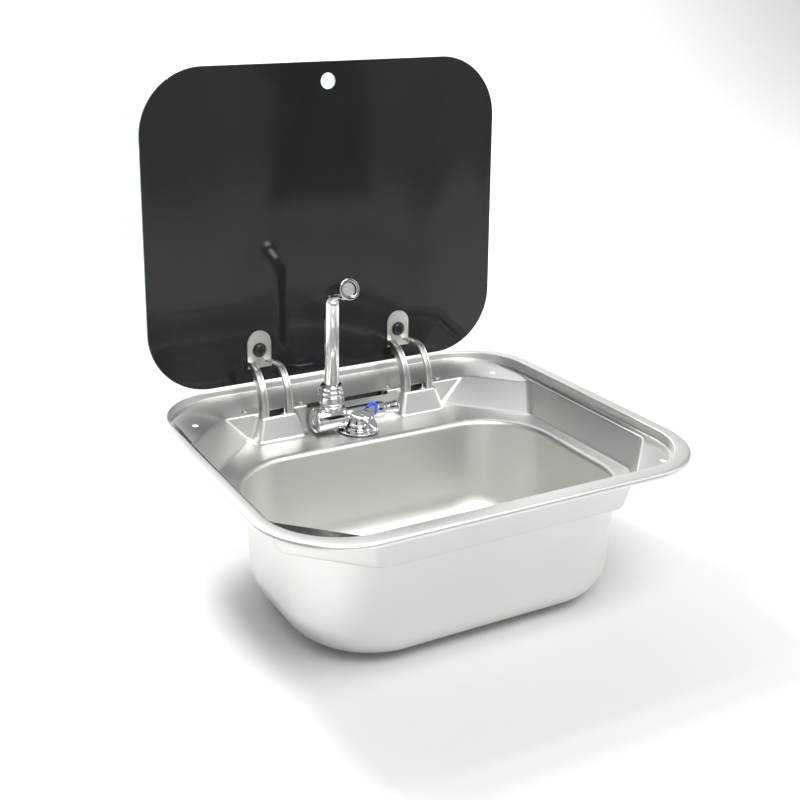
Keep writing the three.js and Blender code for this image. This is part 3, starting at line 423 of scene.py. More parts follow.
# ------------------------------------------------------------------ mesh writing
def quarter(steps: int) -> list[float]:
    """Lists evenly spaced angles from 0 to 90 degrees, in radians."""
    return [math.radians(90 * k / steps) for k in range(steps + 1)]


def upright(x: float, y: float) -> Matrix:
    """Hands back the matrix of an upright axis at a place in millimetres."""
    return Matrix.Translation((x, y, 0))


def above_rim(points: Iterable[Sequence[float]]) -> list[Point]:
    """Turns millimetres above the rim into the frame's metres."""
    return [(x * MM, y * MM, (z + RIM_HEIGHT) * MM) for x, y, z in points]


def placed(name: str, data: bpy.types.ID) -> bpy.types.Object:
    """Makes an object and links it to the scene.

    Args:
        name: the object's name.
        data: its mesh, lamp or camera.

    Returns:
        The object.
    """
    made = bpy.data.objects.new(name, data)
    bpy.context.scene.collection.objects.link(made)
    return made


def raw_mesh(name: str, places: Sequence[Point], edges: Sequence[Sequence[int]],
             faces: Sequence[Sequence[int]]) -> bpy.types.Object:
    """Makes a mesh object as it is given.

    Args:
        name: the object's name.
        places: corner places in metres.
        edges: corner numbers of each loose edge.
        faces: corner numbers of each face.

    Returns:
        The object, linked to the scene.
    """
    mesh = bpy.data.meshes.new(name)
    mesh.from_pydata(places, edges, faces)
    return placed(name, mesh)


def smooth(mesh: bpy.types.Mesh, crease: float = CREASE) -> None:
    """Shades a mesh smooth below a crease angle."""
    mesh.shade_smooth()
    mesh.set_sharp_from_angle(angle=math.radians(crease))


def mesh_object(name: str, vertices: Iterable[Sequence[float]], faces: Iterable[Sequence[int]],
                crease: float = CREASE) -> bpy.types.Object:
    """Makes a mesh object from millimetres above the rim, smooth below a crease angle.

    Args:
        name: the object's name.
        vertices: corner places in millimetres, heights from the rim.
        faces: corner numbers of each face.
        crease: crease angle in degrees.

    Returns:
        The object, linked to the scene.
    """
    made = raw_mesh(name, above_rim(vertices), [], [list(f) for f in faces])
    tidy_mesh(made, crease)
    return made


def tidy_mesh(made: bpy.types.Object, crease: float = CREASE) -> None:
    """Merges doubles, points the faces outwards and sets the crease angle.

    Args:
        made: the object to tidy.
        crease: crease angle in degrees.
    """
    work = bmesh.new()
    work.from_mesh(made.data)
    bmesh.ops.remove_doubles(work, verts=work.verts, dist=1e-6)
    bmesh.ops.dissolve_degenerate(work, edges=work.edges, dist=1e-7)
    bmesh.ops.recalc_face_normals(work, faces=work.faces)
    work.to_mesh(made.data)
    work.free()
    smooth(made.data, crease)


def loft_faces(rows: int, count: int, capped: bool = True) -> list[list[int]]:
    """Lists the faces of a skin over rings of equally many points.

    Args:
        rows: how many rings there are.
        count: points in each ring.
        capped: whether both ends are closed by one face each.

    Returns:
        Corner numbers of each face.
    """
    faces = []
    for i in range(rows - 1):
        for j in range(count):
            a, b = i * count + j, i * count + (j + 1) % count
            faces.append([a, b, b + count, a + count])
    if capped:
        faces.append(list(range(count))[::-1])
        faces.append([(rows - 1) * count + j for j in range(count)])
    return faces


def lofted(name: str, rings: Sequence[Sequence[Point]], capped: bool = True,
           crease: float = CREASE) -> bpy.types.Object:
    """Skins rings of points into one object."""
    vertices = [p for ring in rings for p in ring]
    return mesh_object(name, vertices, loft_faces(len(rings), len(rings[0]), capped), crease)


def rounded_profile(corners: Profile) -> list[tuple[float, float]]:
    """Rounds the corners of a profile.

    Args:
        corners: radius, height and rounding of each corner, in order.

    Returns:
        Radius and height pairs.
    """
    points: list[tuple[float, float]] = []
    for i, (r, z, bend) in enumerate(corners):
        here = Vector((r, z))
        if bend <= 0 or i in (0, len(corners) - 1):
            points.append((r, z))
            continue
        before = Vector(corners[i - 1][:2]) - here
        after = Vector(corners[i + 1][:2]) - here
        reach = min(bend, before.length * 0.49, after.length * 0.49)
        start = here + before.normalized() * reach
        end = here + after.normalized() * reach
        for s in range(ROUNDING_STEPS + 1):
            t = s / ROUNDING_STEPS
            mix = start * (1 - t) ** 2 + here * 2 * t * (1 - t) + end * t * t
            points.append((mix.x, mix.y))
    return points


def turned(name: str, corners: Profile, place: Matrix, segments: int = 72) -> bpy.types.Object:
    """Turns a rounded profile about an axis.

    Args:
        name: the object's name.
        corners: radius, height along the axis, and rounding of each corner.
        place: millimetre matrix from the profile's own frame, whose Z is the axis.
        segments: facets round the axis.

    Returns:
        The object, with its ends capped unless the profile closes on itself.
    """
    profile = rounded_profile(corners)
    rings = []
    for r, z in profile:
        r = max(r, 1e-4)
        turns = (2 * math.pi * k / segments for k in range(segments))
        rings.append([tuple(place @ Vector((r * math.cos(a), r * math.sin(a), z))) for a in turns])
    return lofted(name, rings, profile[0] != profile[-1])


def slab(name: str, outline: Outline, low: float, high: float, place: Matrix,
         edge: float = 0.0, crease: float = CREASE) -> bpy.types.Object:
    """Carries a flat outline along Z, with its edges rounded.

    Args:
        name: the object's name.
        outline: points round the shape, anticlockwise.
        low: lower height.
        high: upper height.
        place: millimetre matrix from the outline's own frame.
        edge: edge rounding.
        crease: crease angle in degrees.

    Returns:
        The object.
    """
    points = np.array(outline, float)
    along = np.roll(points, -1, 0) - np.roll(points, 1, 0)
    along /= np.linalg.norm(along, axis=1)[:, None]
    outward = np.stack([along[:, 1], -along[:, 0]], 1)
    levels = [(0.0, low), (0.0, high)]
    if edge:
        foot = [(edge * (1 - math.sin(a)), low + edge * (1 - math.cos(a))) for a in quarter(4)]
        levels = foot + [(inset, high + low - z) for inset, z in reversed(foot)]
    rings = []
    for inset, z in levels:
        moved = points - outward * inset
        rings.append([tuple(place @ Vector((x, y, z))) for x, y in moved])
    return lofted(name, rings, True, crease)


def box_tool(low: Point, high: Point) -> bpy.types.Object:
    """Makes a plain block, used only to cut others.

    Args:
        low: its corner with the smallest numbers.
        high: its corner with the largest numbers.

    Returns:
        The block.
    """
    (x0, y0, z0), (x1, y1, z1) = low, high
    ring = [(x0, y0), (x1, y0), (x1, y1), (x0, y1)]
    return lofted("cutter", [[(x, y, z) for x, y in ring] for z in (z0, z1)])


def rod_tool(radius: float, low: float, high: float, place: Matrix, sides: int = 48) -> bpy.types.Object:
    """Makes a plain round rod, used only to cut others."""
    corners = [(0, low, 0), (radius, low, 0), (radius, high, 0), (0, high, 0)]
    return turned("cutter", corners, place, sides)


def combine(base: bpy.types.Object, others: Sequence[bpy.types.Object], operation: str) -> bpy.types.Object:
    """Joins, cuts or trims one object by others, which are used up.

    Args:
        base: the object that is changed.
        others: the objects it meets, in order.
        operation: UNION, DIFFERENCE or INTERSECT.

    Returns:
        The changed object.
    """
    for other in others:
        modifier = base.modifiers.new("meet", "BOOLEAN")
        modifier.operation = operation
        modifier.solver = "EXACT"
        modifier.object = other
        freeze(base)
        bpy.data.objects.remove(other)
    return base


def freeze(made: bpy.types.Object) -> None:
    """Replaces an object's mesh by its evaluated one and drops its modifiers.

    Args:
        made: the object to freeze.
    """
    evaluated = made.evaluated_get(bpy.context.evaluated_depsgraph_get())
    mesh = bpy.data.meshes.new_from_object(evaluated)
    made.modifiers.clear()
    made.data = mesh


def merge(name: str, parts: Sequence[bpy.types.Object]) -> bpy.types.Object:
    """Puts several meshes into one object without cutting them.

    Args:
        name: the new object's name.
        parts: the objects, which are used up.

    Returns:
        The object that holds them all.
    """
    work = bmesh.new()
    for part in parts:
        work.from_mesh(part.data)
    made = raw_mesh(name, [], [], [])
    work.to_mesh(made.data)
    work.free()
    for part in parts:
        bpy.data.objects.remove(part)
    smooth(made.data)
    return made


def dress(made: bpy.types.Object, slot: Slot, body: Body, nodes: Sequence[str]) -> None:
    """Gives a piece its finish, body and the CAD nodes it stands for.

    Args:
        made: the finished piece.
        slot: the record's material slot.
        body: the body that it rides on.
        nodes: names of the CAD nodes that it replaces.
    """
    made.data.materials.clear()
    made.data.materials.append(FINISHES[slot])
    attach(made, body.value)
    if nodes:
        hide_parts(*nodes)
    LOG.info("%s: %d faces, stands for %s", made.name, len(made.data.polygons), ", ".join(nodes))


def mark_faces(made: bpy.types.Object, name: str, share: Callable[[Vector, Vector], float]) -> None:
    """Stores a face attribute that a finish reads.

    Args:
        made: the finished piece.
        name: the attribute's name.
        share: gives a value from a face's centre, in millimetres above the rim, and its normal.
    """
    layer = made.data.attributes.new(name, "FLOAT", "FACE")
    for face, entry in zip(made.data.polygons, layer.data):
        centre = Vector(face.center) / MM - Vector((0, 0, RIM_HEIGHT))
        entry.value = share(centre, face.normal)


def dress_node(node: str, slot: Slot) -> None:
    """Gives its finish to a CAD node that stays.

    Args:
        node: the node's name.
        slot: the record's material slot.
    """
    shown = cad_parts[node]
    shown.data.materials.clear()
    shown.data.materials.append(FINISHES[slot])


# ------------------------------------------------------------------ geometry nodes
class NodeRecipe:
    """One Geometry Nodes tree that ends in Realize Instances and Set Material."""

    def __init__(self, name: str, inputs: Sequence[tuple[str, str]]) -> None:
        """Starts the tree.

        Args:
            name: the tree's name.
            inputs: name and socket type of each input after the geometry.
        """
        self.tree = bpy.data.node_groups.new(name, "GeometryNodeTree")
        self.tree.interface.new_socket("Geometry", in_out="INPUT", socket_type="NodeSocketGeometry")
        self.identifiers = {}
        for label, kind in inputs:
            socket = self.tree.interface.new_socket(label, in_out="INPUT", socket_type=kind)
            self.identifiers[label] = socket.identifier
        self.tree.interface.new_socket("Geometry", in_out="OUTPUT", socket_type="NodeSocketGeometry")
        self.entry = self.tree.nodes.new("NodeGroupInput")

    def add(self, kind: str, settings: dict[str, object],
            inputs: dict[object, object]) -> bpy.types.Node:
        """Adds one node.

        Args:
            kind: the node's type name.
            settings: attributes that are set first.
            inputs: values, or sockets of earlier nodes, by name or number.

        Returns:
            The node.
        """
        made = self.tree.nodes.new(kind)
        for key, value in settings.items():
            setattr(made, key, value)
        for key, value in inputs.items():
            if isinstance(value, bpy.types.NodeSocket):
                self.tree.links.new(value, made.inputs[key])
            else:
                made.inputs[key].default_value = value
        return made

    def close(self, geometry: bpy.types.NodeSocket, material: bpy.types.Material) -> None:
        """Ends the tree in Realize Instances and Set Material.

        Args:
            geometry: the socket with the finished geometry.
            material: the material that it gets.
        """
        real = self.add("GeometryNodeRealizeInstances", {}, {"Geometry": geometry})
        sockets = {"Geometry": real.outputs[0], "Material": material}
        dressed = self.add("GeometryNodeSetMaterial", {}, sockets)
        exit_node = self.tree.nodes.new("NodeGroupOutput")
        self.tree.links.new(dressed.outputs[0], exit_node.inputs[0])

    def apply(self, carrier: bpy.types.Object, values: dict[str, object]) -> None:
        """Runs the tree on an object and keeps the result as its plain mesh.

        Args:
            carrier: the object.
            values: the value of each named input.
        """
        modifier = carrier.modifiers.new("recipe", "NODES")
        modifier.node_group = self.tree
        for label, value in values.items():
            modifier[self.identifiers[label]] = value
        freeze(carrier)
        smooth(carrier.data)


def repeat(name: str, master: bpy.types.Object, places: Sequence[Point], slot: Slot) -> bpy.types.Object:
    """Sets copies of a master piece on points with Geometry Nodes.

    Args:
        name: the finished piece's name.
        master: the piece to copy, which is used up.
        places: offsets of the copies, in millimetres.
        slot: the finish's slot.

    Returns:
        One object with all the copies.
    """
    carrier = raw_mesh(name, [(x * MM, y * MM, z * MM) for x, y, z in places], [], [])
    recipe = NodeRecipe(f"{name}_copies", [("Master", "NodeSocketObject"), ("Size", "NodeSocketFloat")])
    info = recipe.add("GeometryNodeObjectInfo", {}, {"Object": recipe.entry.outputs["Master"]})
    copies = recipe.add("GeometryNodeInstanceOnPoints", {}, {
        "Points": recipe.entry.outputs["Geometry"],
        "Instance": info.outputs["Geometry"],
        "Scale": recipe.entry.outputs["Size"],
    })
    recipe.close(copies.outputs[0], FINISHES[slot])
    recipe.apply(carrier, {"Master": master, "Size": 1.0})
    bpy.data.objects.remove(master)
    return carrier


def wired(name: str, path: Sequence[Point], radius: float, slot: Slot,
          sides: int = 16) -> bpy.types.Object:
    """Runs a round section along a path with Geometry Nodes.

    Args:
        name: the piece's name.
        path: points in millimetres, heights from the rim.
        radius: the section's radius in millimetres.
        slot: the finish's slot.
        sides: facets round the section.

    Returns:
        The piece.
    """
    steps = [(i, i + 1) for i in range(len(path) - 1)]
    carrier = raw_mesh(name, above_rim(path), steps, [])
    recipe = NodeRecipe(f"{name}_run", [("Radius", "NodeSocketFloat"), ("Sides", "NodeSocketInt")])
    line = recipe.add("GeometryNodeMeshToCurve", {}, {"Mesh": recipe.entry.outputs["Geometry"]})
    section = recipe.add("GeometryNodeCurvePrimitiveCircle", {}, {
        "Resolution": recipe.entry.outputs["Sides"],
        "Radius": recipe.entry.outputs["Radius"],
    })
    skin = recipe.add("GeometryNodeCurveToMesh", {}, {
        "Curve": line.outputs[0],
        "Profile Curve": section.outputs[0],
        "Fill Caps": True,
    })
    recipe.close(skin.outputs[0], FINISHES[slot])
    recipe.apply(carrier, {"Radius": radius * MM, "Sides": sides})
    return carrier


# ------------------------------------------------------------------ pan
@dataclass
class Corner:
    """A plan corner: a quarter round, or a 45 degree cut between two fillets."""

    radius: float
    cut: float | None = None

    def points(self, steps: int) -> list[tuple[float, float, float]]:
        """Lists the corner from the side to the end.

        Args:
            steps: how many points, an even number.

        Returns:
            Distances inwards along X and Y from the sharp corner, and the share of the way.
        """
        found = []
        for i in range(steps):
            share = i / (steps - 1)
            if self.cut is None:
                a = share * math.pi / 2
                found.append((self.radius * (1 - math.cos(a)), self.radius * (1 - math.sin(a)), share))
                continue
            tangent = self.cut + self.radius * math.tan(math.pi / 8)
            first = i < steps // 2
            a = (i if first else i - 1) / (steps - 2) * math.pi / 2
            if first:
                found.append((self.radius * (1 - math.cos(a)), tangent - self.radius * math.sin(a), share))
            else:
                found.append((tangent - self.radius * math.cos(a), self.radius * (1 - math.sin(a)), share))
        return found


@dataclass
class Level:
    """One sharp level of the pressed sheet."""

    side: float
    front: float
    back: float
    front_corner: Corner
    back_corner: Corner
    height: float
    back_height: float | None = None
    bend: float = 0.0

    def ring(self, steps: int) -> np.ndarray:
        """Lists the level's points.

        Args:
            steps: points in each corner.

        Returns:
            The points, anticlockwise from above.
        """
        back_height = self.height if self.back_height is None else self.back_height

        def rise(share: float) -> float:
            """Blends the side's height into the back's."""
            return self.height + (back_height - self.height) * share * share * (3 - 2 * share)

        rear = [(self.side - u, self.back - v, rise(f)) for u, v, f in self.back_corner.points(steps)]
        fore = [(self.side - u, v - self.front, self.height) for u, v, _ in self.front_corner.points(steps)]
        mirrored_rear = [(-x, y, z) for x, y, z in reversed(rear)]
        mirrored_fore = [(-x, y, z) for x, y, z in fore]
        return np.array([*rear, *mirrored_rear, *mirrored_fore, *reversed(fore)], float)


@dataclass
class Pan:
    """The deep-drawn sink: rim, recess, back strip, eight-sided well, ledge and bowl.

    Paired corners and cuts are for the front and the back, triples for the side, front and back.
    """

    rim_x: float = 210.0
    rim_y: float = 185.0
    rim_corner: float = 78.0
    lip_drop: float = 4.5
    lip_bend: float = 3.0
    flange_x: float = 197.0
    flange_y: float = 169.5
    recess_corner: float = 65.0
    recess_draft: float = 0.5
    recess_depth: float = 9.3
    recess_bend: float = 1.4
    strip_back: float = 168.0
    strip_front: float = 128.0
    strip_high: float = 6.2
    strip_low: float = 14.5
    seat_side: float = 8.0
    seat_front: float = 7.0
    seat_cuts: tuple[float, float] = (63.5, 51.5)
    cut_fillet: float = 12.0
    gripped_from: float = 115.0
    well_bend: float = 3.0
    ledge: float = 40.0
    ledge_x: float = 178.5
    ledge_front: float = 156.0
    ledge_rear: float = 126.0
    ledge_cuts: tuple[float, float] = (60.0, 68.5)
    apron: Point = (8.0, 7.0, 8.0)
    apron_corners: tuple[float, float] = (84.0, 70.0)
    bowl_x: float = 160.5
    bowl_front: float = 145.0
    bowl_rear: float = 72.5
    bowl_corners: tuple[float, float] = (78.0, 62.0)
    bowl_bend: float = 6.0
    bowl_draft: Point = (1.5, 5.0, 9.0)
    bowl_floor: float = 141.2
    foot_radius: float = 32.0
    foot_corner: float = 79.0
    wide_bend: float = 20.0
    waste_y: float = -36.0
    waste_radius: float = 45.0
    waste_hole: float = 26.0
    waste_step: float = 3.0
    hinge_x: float = 80.5
    box_top: float = 16.0
    box_foot_y: float = 111.0
    box_top_y: float = 118.4
    box_foot_half: float = 27.0
    box_top_half: float = 20.0
    box_corner: float = 5.5
    box_edge: float = 2.6
    box_flare: float = 3.0
    slot_half: float = 18.4
    slot_front: float = 119.5
    slot_back: float = 131.5
    fixing_x: float = 169.5
    fixing_y: tuple[float, float] = (-147.0, 117.0)
    fixing_hole: float = 3.2
    vent_half: float = 46.5
    tap_hole: float = 7.5
    corner_steps: int = 28

    def levels(self) -> list[Level]:
        """Lists the sharp levels of the upper skin.

        Returns:
            The levels, from the lip to the bowl floor.
        """
        rim, recess, foot = Corner(self.rim_corner), Corner(self.recess_corner), Corner(self.foot_corner)
        seat_corners = [Corner(self.cut_fillet, cut) for cut in self.seat_cuts]
        ledge_corners = [Corner(self.cut_fillet, cut) for cut in self.ledge_cuts]
        seat_x, seat_y = self.flange_x - self.recess_draft, self.flange_y - self.recess_draft
        mouth = (self.bowl_x, self.bowl_front, self.bowl_rear)
        outside = [size + more for size, more in zip(mouth, self.apron)]
        bottom = [size - less for size, less in zip(mouth, self.bowl_draft)]
        inset = self.foot_radius + 2
        floor = Corner(self.foot_corner - inset)
        return [
            Level(self.rim_x, self.rim_y, self.rim_y, rim, rim, -self.lip_drop),
            Level(self.rim_x, self.rim_y, self.rim_y, rim, rim, 0.0, bend=self.lip_bend),
            Level(self.flange_x, self.flange_y, self.flange_y, recess, recess, 0.0, bend=self.recess_bend),
            Level(seat_x, seat_y, self.strip_back, recess, recess,
                  -self.recess_depth, -self.strip_high, self.recess_bend),
            Level(seat_x - self.seat_side, seat_y - self.seat_front, self.strip_front, *seat_corners,
                  -self.recess_depth, -self.strip_low, self.well_bend),
            Level(self.ledge_x, self.ledge_front, self.ledge_rear, *ledge_corners,
                  -self.ledge, bend=self.well_bend),
            Level(*outside, *map(Corner, self.apron_corners), -self.ledge),
            Level(*mouth, *map(Corner, self.bowl_corners), -self.ledge, bend=self.bowl_bend),
            Level(*bottom, foot, foot, -self.bowl_floor, bend=self.foot_radius),
            Level(*(size - inset for size in bottom), floor, floor, -self.bowl_floor),
        ]

    def rolled(self) -> list[np.ndarray]:
        """Rolls every sharp level to its bend radius, column by column.

        Returns:
            The rings of the upper skin.
        """
        levels = self.levels()
        rings = [level.ring(self.corner_steps) for level in levels]
        found = []
        for i, level in enumerate(levels):
            if not level.bend:
                found.append(rings[i])
                continue
            before, after = rings[i - 1] - rings[i], rings[i + 1] - rings[i]
            reach_before = np.linalg.norm(before, axis=1)
            reach_after = np.linalg.norm(after, axis=1)
            before /= reach_before[:, None]
            after /= reach_after[:, None]
            half = (math.pi - np.arccos(np.clip((before * after).sum(1), -1, 1))) / 2
            tangent = np.minimum(level.bend * np.tan(half), np.minimum(reach_before, reach_after) * 0.9)
            start = rings[i] + before * tangent[:, None]
            end = rings[i] + after * tangent[:, None]
            weight = np.cos(half)[:, None]
            steps = 12 if level.bend > self.wide_bend else 6
            for s in range(steps + 1):
                t = s / steps
                a, b, c = (1 - t) ** 2, 2 * t * (1 - t) * weight, t * t
                found.append((start * a + rings[i] * b + end * c) / (a + b + c))
        return found

    def skins(self) -> tuple[list[np.ndarray], list[np.ndarray], list[np.ndarray]]:
        """Offsets the upper skin through the sheet.

        Returns:
            The rings of the upper skin, of the middle of the sheet and of its underside.
        """
        nearly_level = 0.986
        rings = self.rolled()
        stack = np.array(rings)
        inwards = np.zeros_like(stack)
        for shift in (1, -1):
            step = (np.roll(stack, -shift, 0) - stack) * shift
            step[-1 if shift == 1 else 0] = 0
            size = np.linalg.norm(step, axis=2, keepdims=True)
            inwards += np.divide(step, size, out=np.zeros_like(step), where=size > 1e-9)
        around = np.roll(stack, -1, 1) - np.roll(stack, 1, 1)
        normal = np.cross(around, inwards)
        normal /= np.linalg.norm(normal, axis=2, keepdims=True)
        level = normal[..., 2] > nearly_level
        level[-1] = True
        normal[level] = (0, 0, 1)
        sunk = [list(stack - normal * depth) for depth in (0.0, SHEET / 2, SHEET)]
        return sunk[0], sunk[1], sunk[2]

    def box(self, x: float, grow: float, foot: float) -> bpy.types.Object:
        """Makes one hinge box as a solid, its foot and rear flared into the sheet.

        Args:
            x: the hinge's place.
            grow: distance that the faces are moved outwards.
            foot: height of its lower end.

        Returns:
            The solid.
        """
        rear = self.strip_back - 10
        flare = 0.0 if grow else self.box_flare

        def ring(z: float, inset: float) -> list[Point]:
            """Makes the outline at one height, grown by the foot's fillet.

            Args:
                z: the height.
                inset: how far the top's rounded edge stands in.

            Returns:
                The points of the outline.
            """
            t = (z + self.ledge) / (self.ledge - self.box_top)
            low = max(0.0, flare - (z + self.ledge))
            foot_flare = flare - math.sqrt(max(flare**2 - low**2, 0.0)) if low < flare else flare
            half = (self.box_foot_half + (self.box_top_half - self.box_foot_half) * t
                    + grow - inset + foot_flare)
            front = self.box_foot_y + (self.box_top_y - self.box_foot_y) * t - grow + inset - foot_flare
            r = self.box_corner + grow - inset * 0.5 + foot_flare
            side = [(half - r * (1 - math.cos(a)), front + r * (1 - math.sin(a))) for a in quarter(12)]
            if flare:
                wall = self.ledge_rear + 0.4
                for a in quarter(6)[1:]:
                    side.insert(0, (half + flare * (1 - math.cos(a)), wall - flare * (1 - math.sin(a))))
            side.insert(0, (half + flare, rear))
            return [(x - u, v, z) for u, v in side] + [(x + u, v, z) for u, v in reversed(side)]

        top = -self.box_top + grow
        heights = [(foot, 0.0)]
        if flare:
            heights += [(-self.ledge - 0.05 + flare * k / 6, 0.0) for k in range(7)]
        heights += [(top - self.box_edge * (1 - math.sin(a)), self.box_edge * (1 - math.cos(a)))
                    for a in quarter(6)]
        return lofted("hinge_box", [ring(z, inset) for z, inset in heights])

    def waste_seat(self) -> bpy.types.Object:
        """Makes the pressed ring round the waste hole.

        Returns:
            The ring.
        """
        top, low = -self.bowl_floor, -self.bowl_floor - self.waste_step
        seat = self.waste_radius - 2
        corners = [
            (self.waste_radius + 1.5, top - 0.2, 0),
            (self.waste_radius + 0.2, top - 0.2, 0.8),
            (seat + 0.2, low, 1.2),
            (self.waste_hole, low, 0.3),
            (self.waste_hole, low - SHEET, 0.3),
            (seat + 0.8, low - SHEET, 1.2),
            (self.waste_radius + 0.8, top - 0.6, 0.6),
            (self.waste_radius + 1.5, top - 0.6, 0),
            (self.waste_radius + 1.5, top - 0.2, 0),
        ]
        return turned("waste_seat", corners, upright(0, self.waste_y), 96)

    def build(self) -> None:
        """Builds the pan, presses its boxes and cuts its slots and holes."""
        upper, middle, lower = self.skins()
        pan = lofted("sink_pan_sheet", [*reversed(upper), *lower])
        inside = middle[8:]  # past the lip and its bend
        floor = rod_tool(self.waste_radius, -self.bowl_floor - 6, -self.bowl_floor + 6,
                         upright(0, self.waste_y), 96)
        combine(pan, [floor], "DIFFERENCE")
        combine(pan, [self.waste_seat()], "UNION")
        for x in (-self.hinge_x, self.hinge_x):
            pressed = combine(self.box(x, 0.0, -self.ledge - 3), [lofted("inside", inside)], "INTERSECT")
            combine(pan, [pressed], "UNION")
            slot = box_tool((x - self.slot_half, self.slot_front, -self.box_top - 9),
                            (x + self.slot_half, self.slot_back, 5))
            combine(pan, [self.box(x, -SHEET, -self.ledge - 5), slot], "DIFFERENCE")
        combine(pan, self.hole_tools(), "DIFFERENCE")
        tidy_mesh(pan, FINE_CREASE)
        mark_faces(pan, "pinched", self.pinched)
        dress(pan, Slot.PAN, Body.BASIN, ["sink_pan"])

    def pinched(self, centre: Vector, normal: Vector) -> float:
        """Tells the four level corners of the recess, where the blank holder gripped the sheet.

        Args:
            centre: a face's centre, in millimetres above the rim.
            normal: its normal.

        Returns:
            1 on those corners, 0 elsewhere.
        """
        on_seat = normal.z > 0.99 and abs(centre.z + self.recess_depth) < 0.3
        return float(on_seat and abs(centre.x) > self.gripped_from)

    def hole_tools(self) -> list[bpy.types.Object]:
        """Makes the cutters of the fixing holes, vent slot and tap hole.

        Returns:
            The cutters.
        """
        tools = [rod_tool(self.fixing_hole, -self.recess_depth - 12, 2, upright(x, y), 32)
                 for x in (-self.fixing_x, self.fixing_x) for y in self.fixing_y]
        vent_top = -self.strip_low + 0.4
        tools.append(box_tool((-self.vent_half, self.strip_front - 6, vent_top - 4),
                              (self.vent_half, self.strip_front + 3.5, vent_top)))
        tap = Tap()
        tools.append(rod_tool(self.tap_hole, -self.ledge - 5, -self.ledge + 5,
                              upright(tap.pillar_x, tap.pillar_y), 48))
        return tools


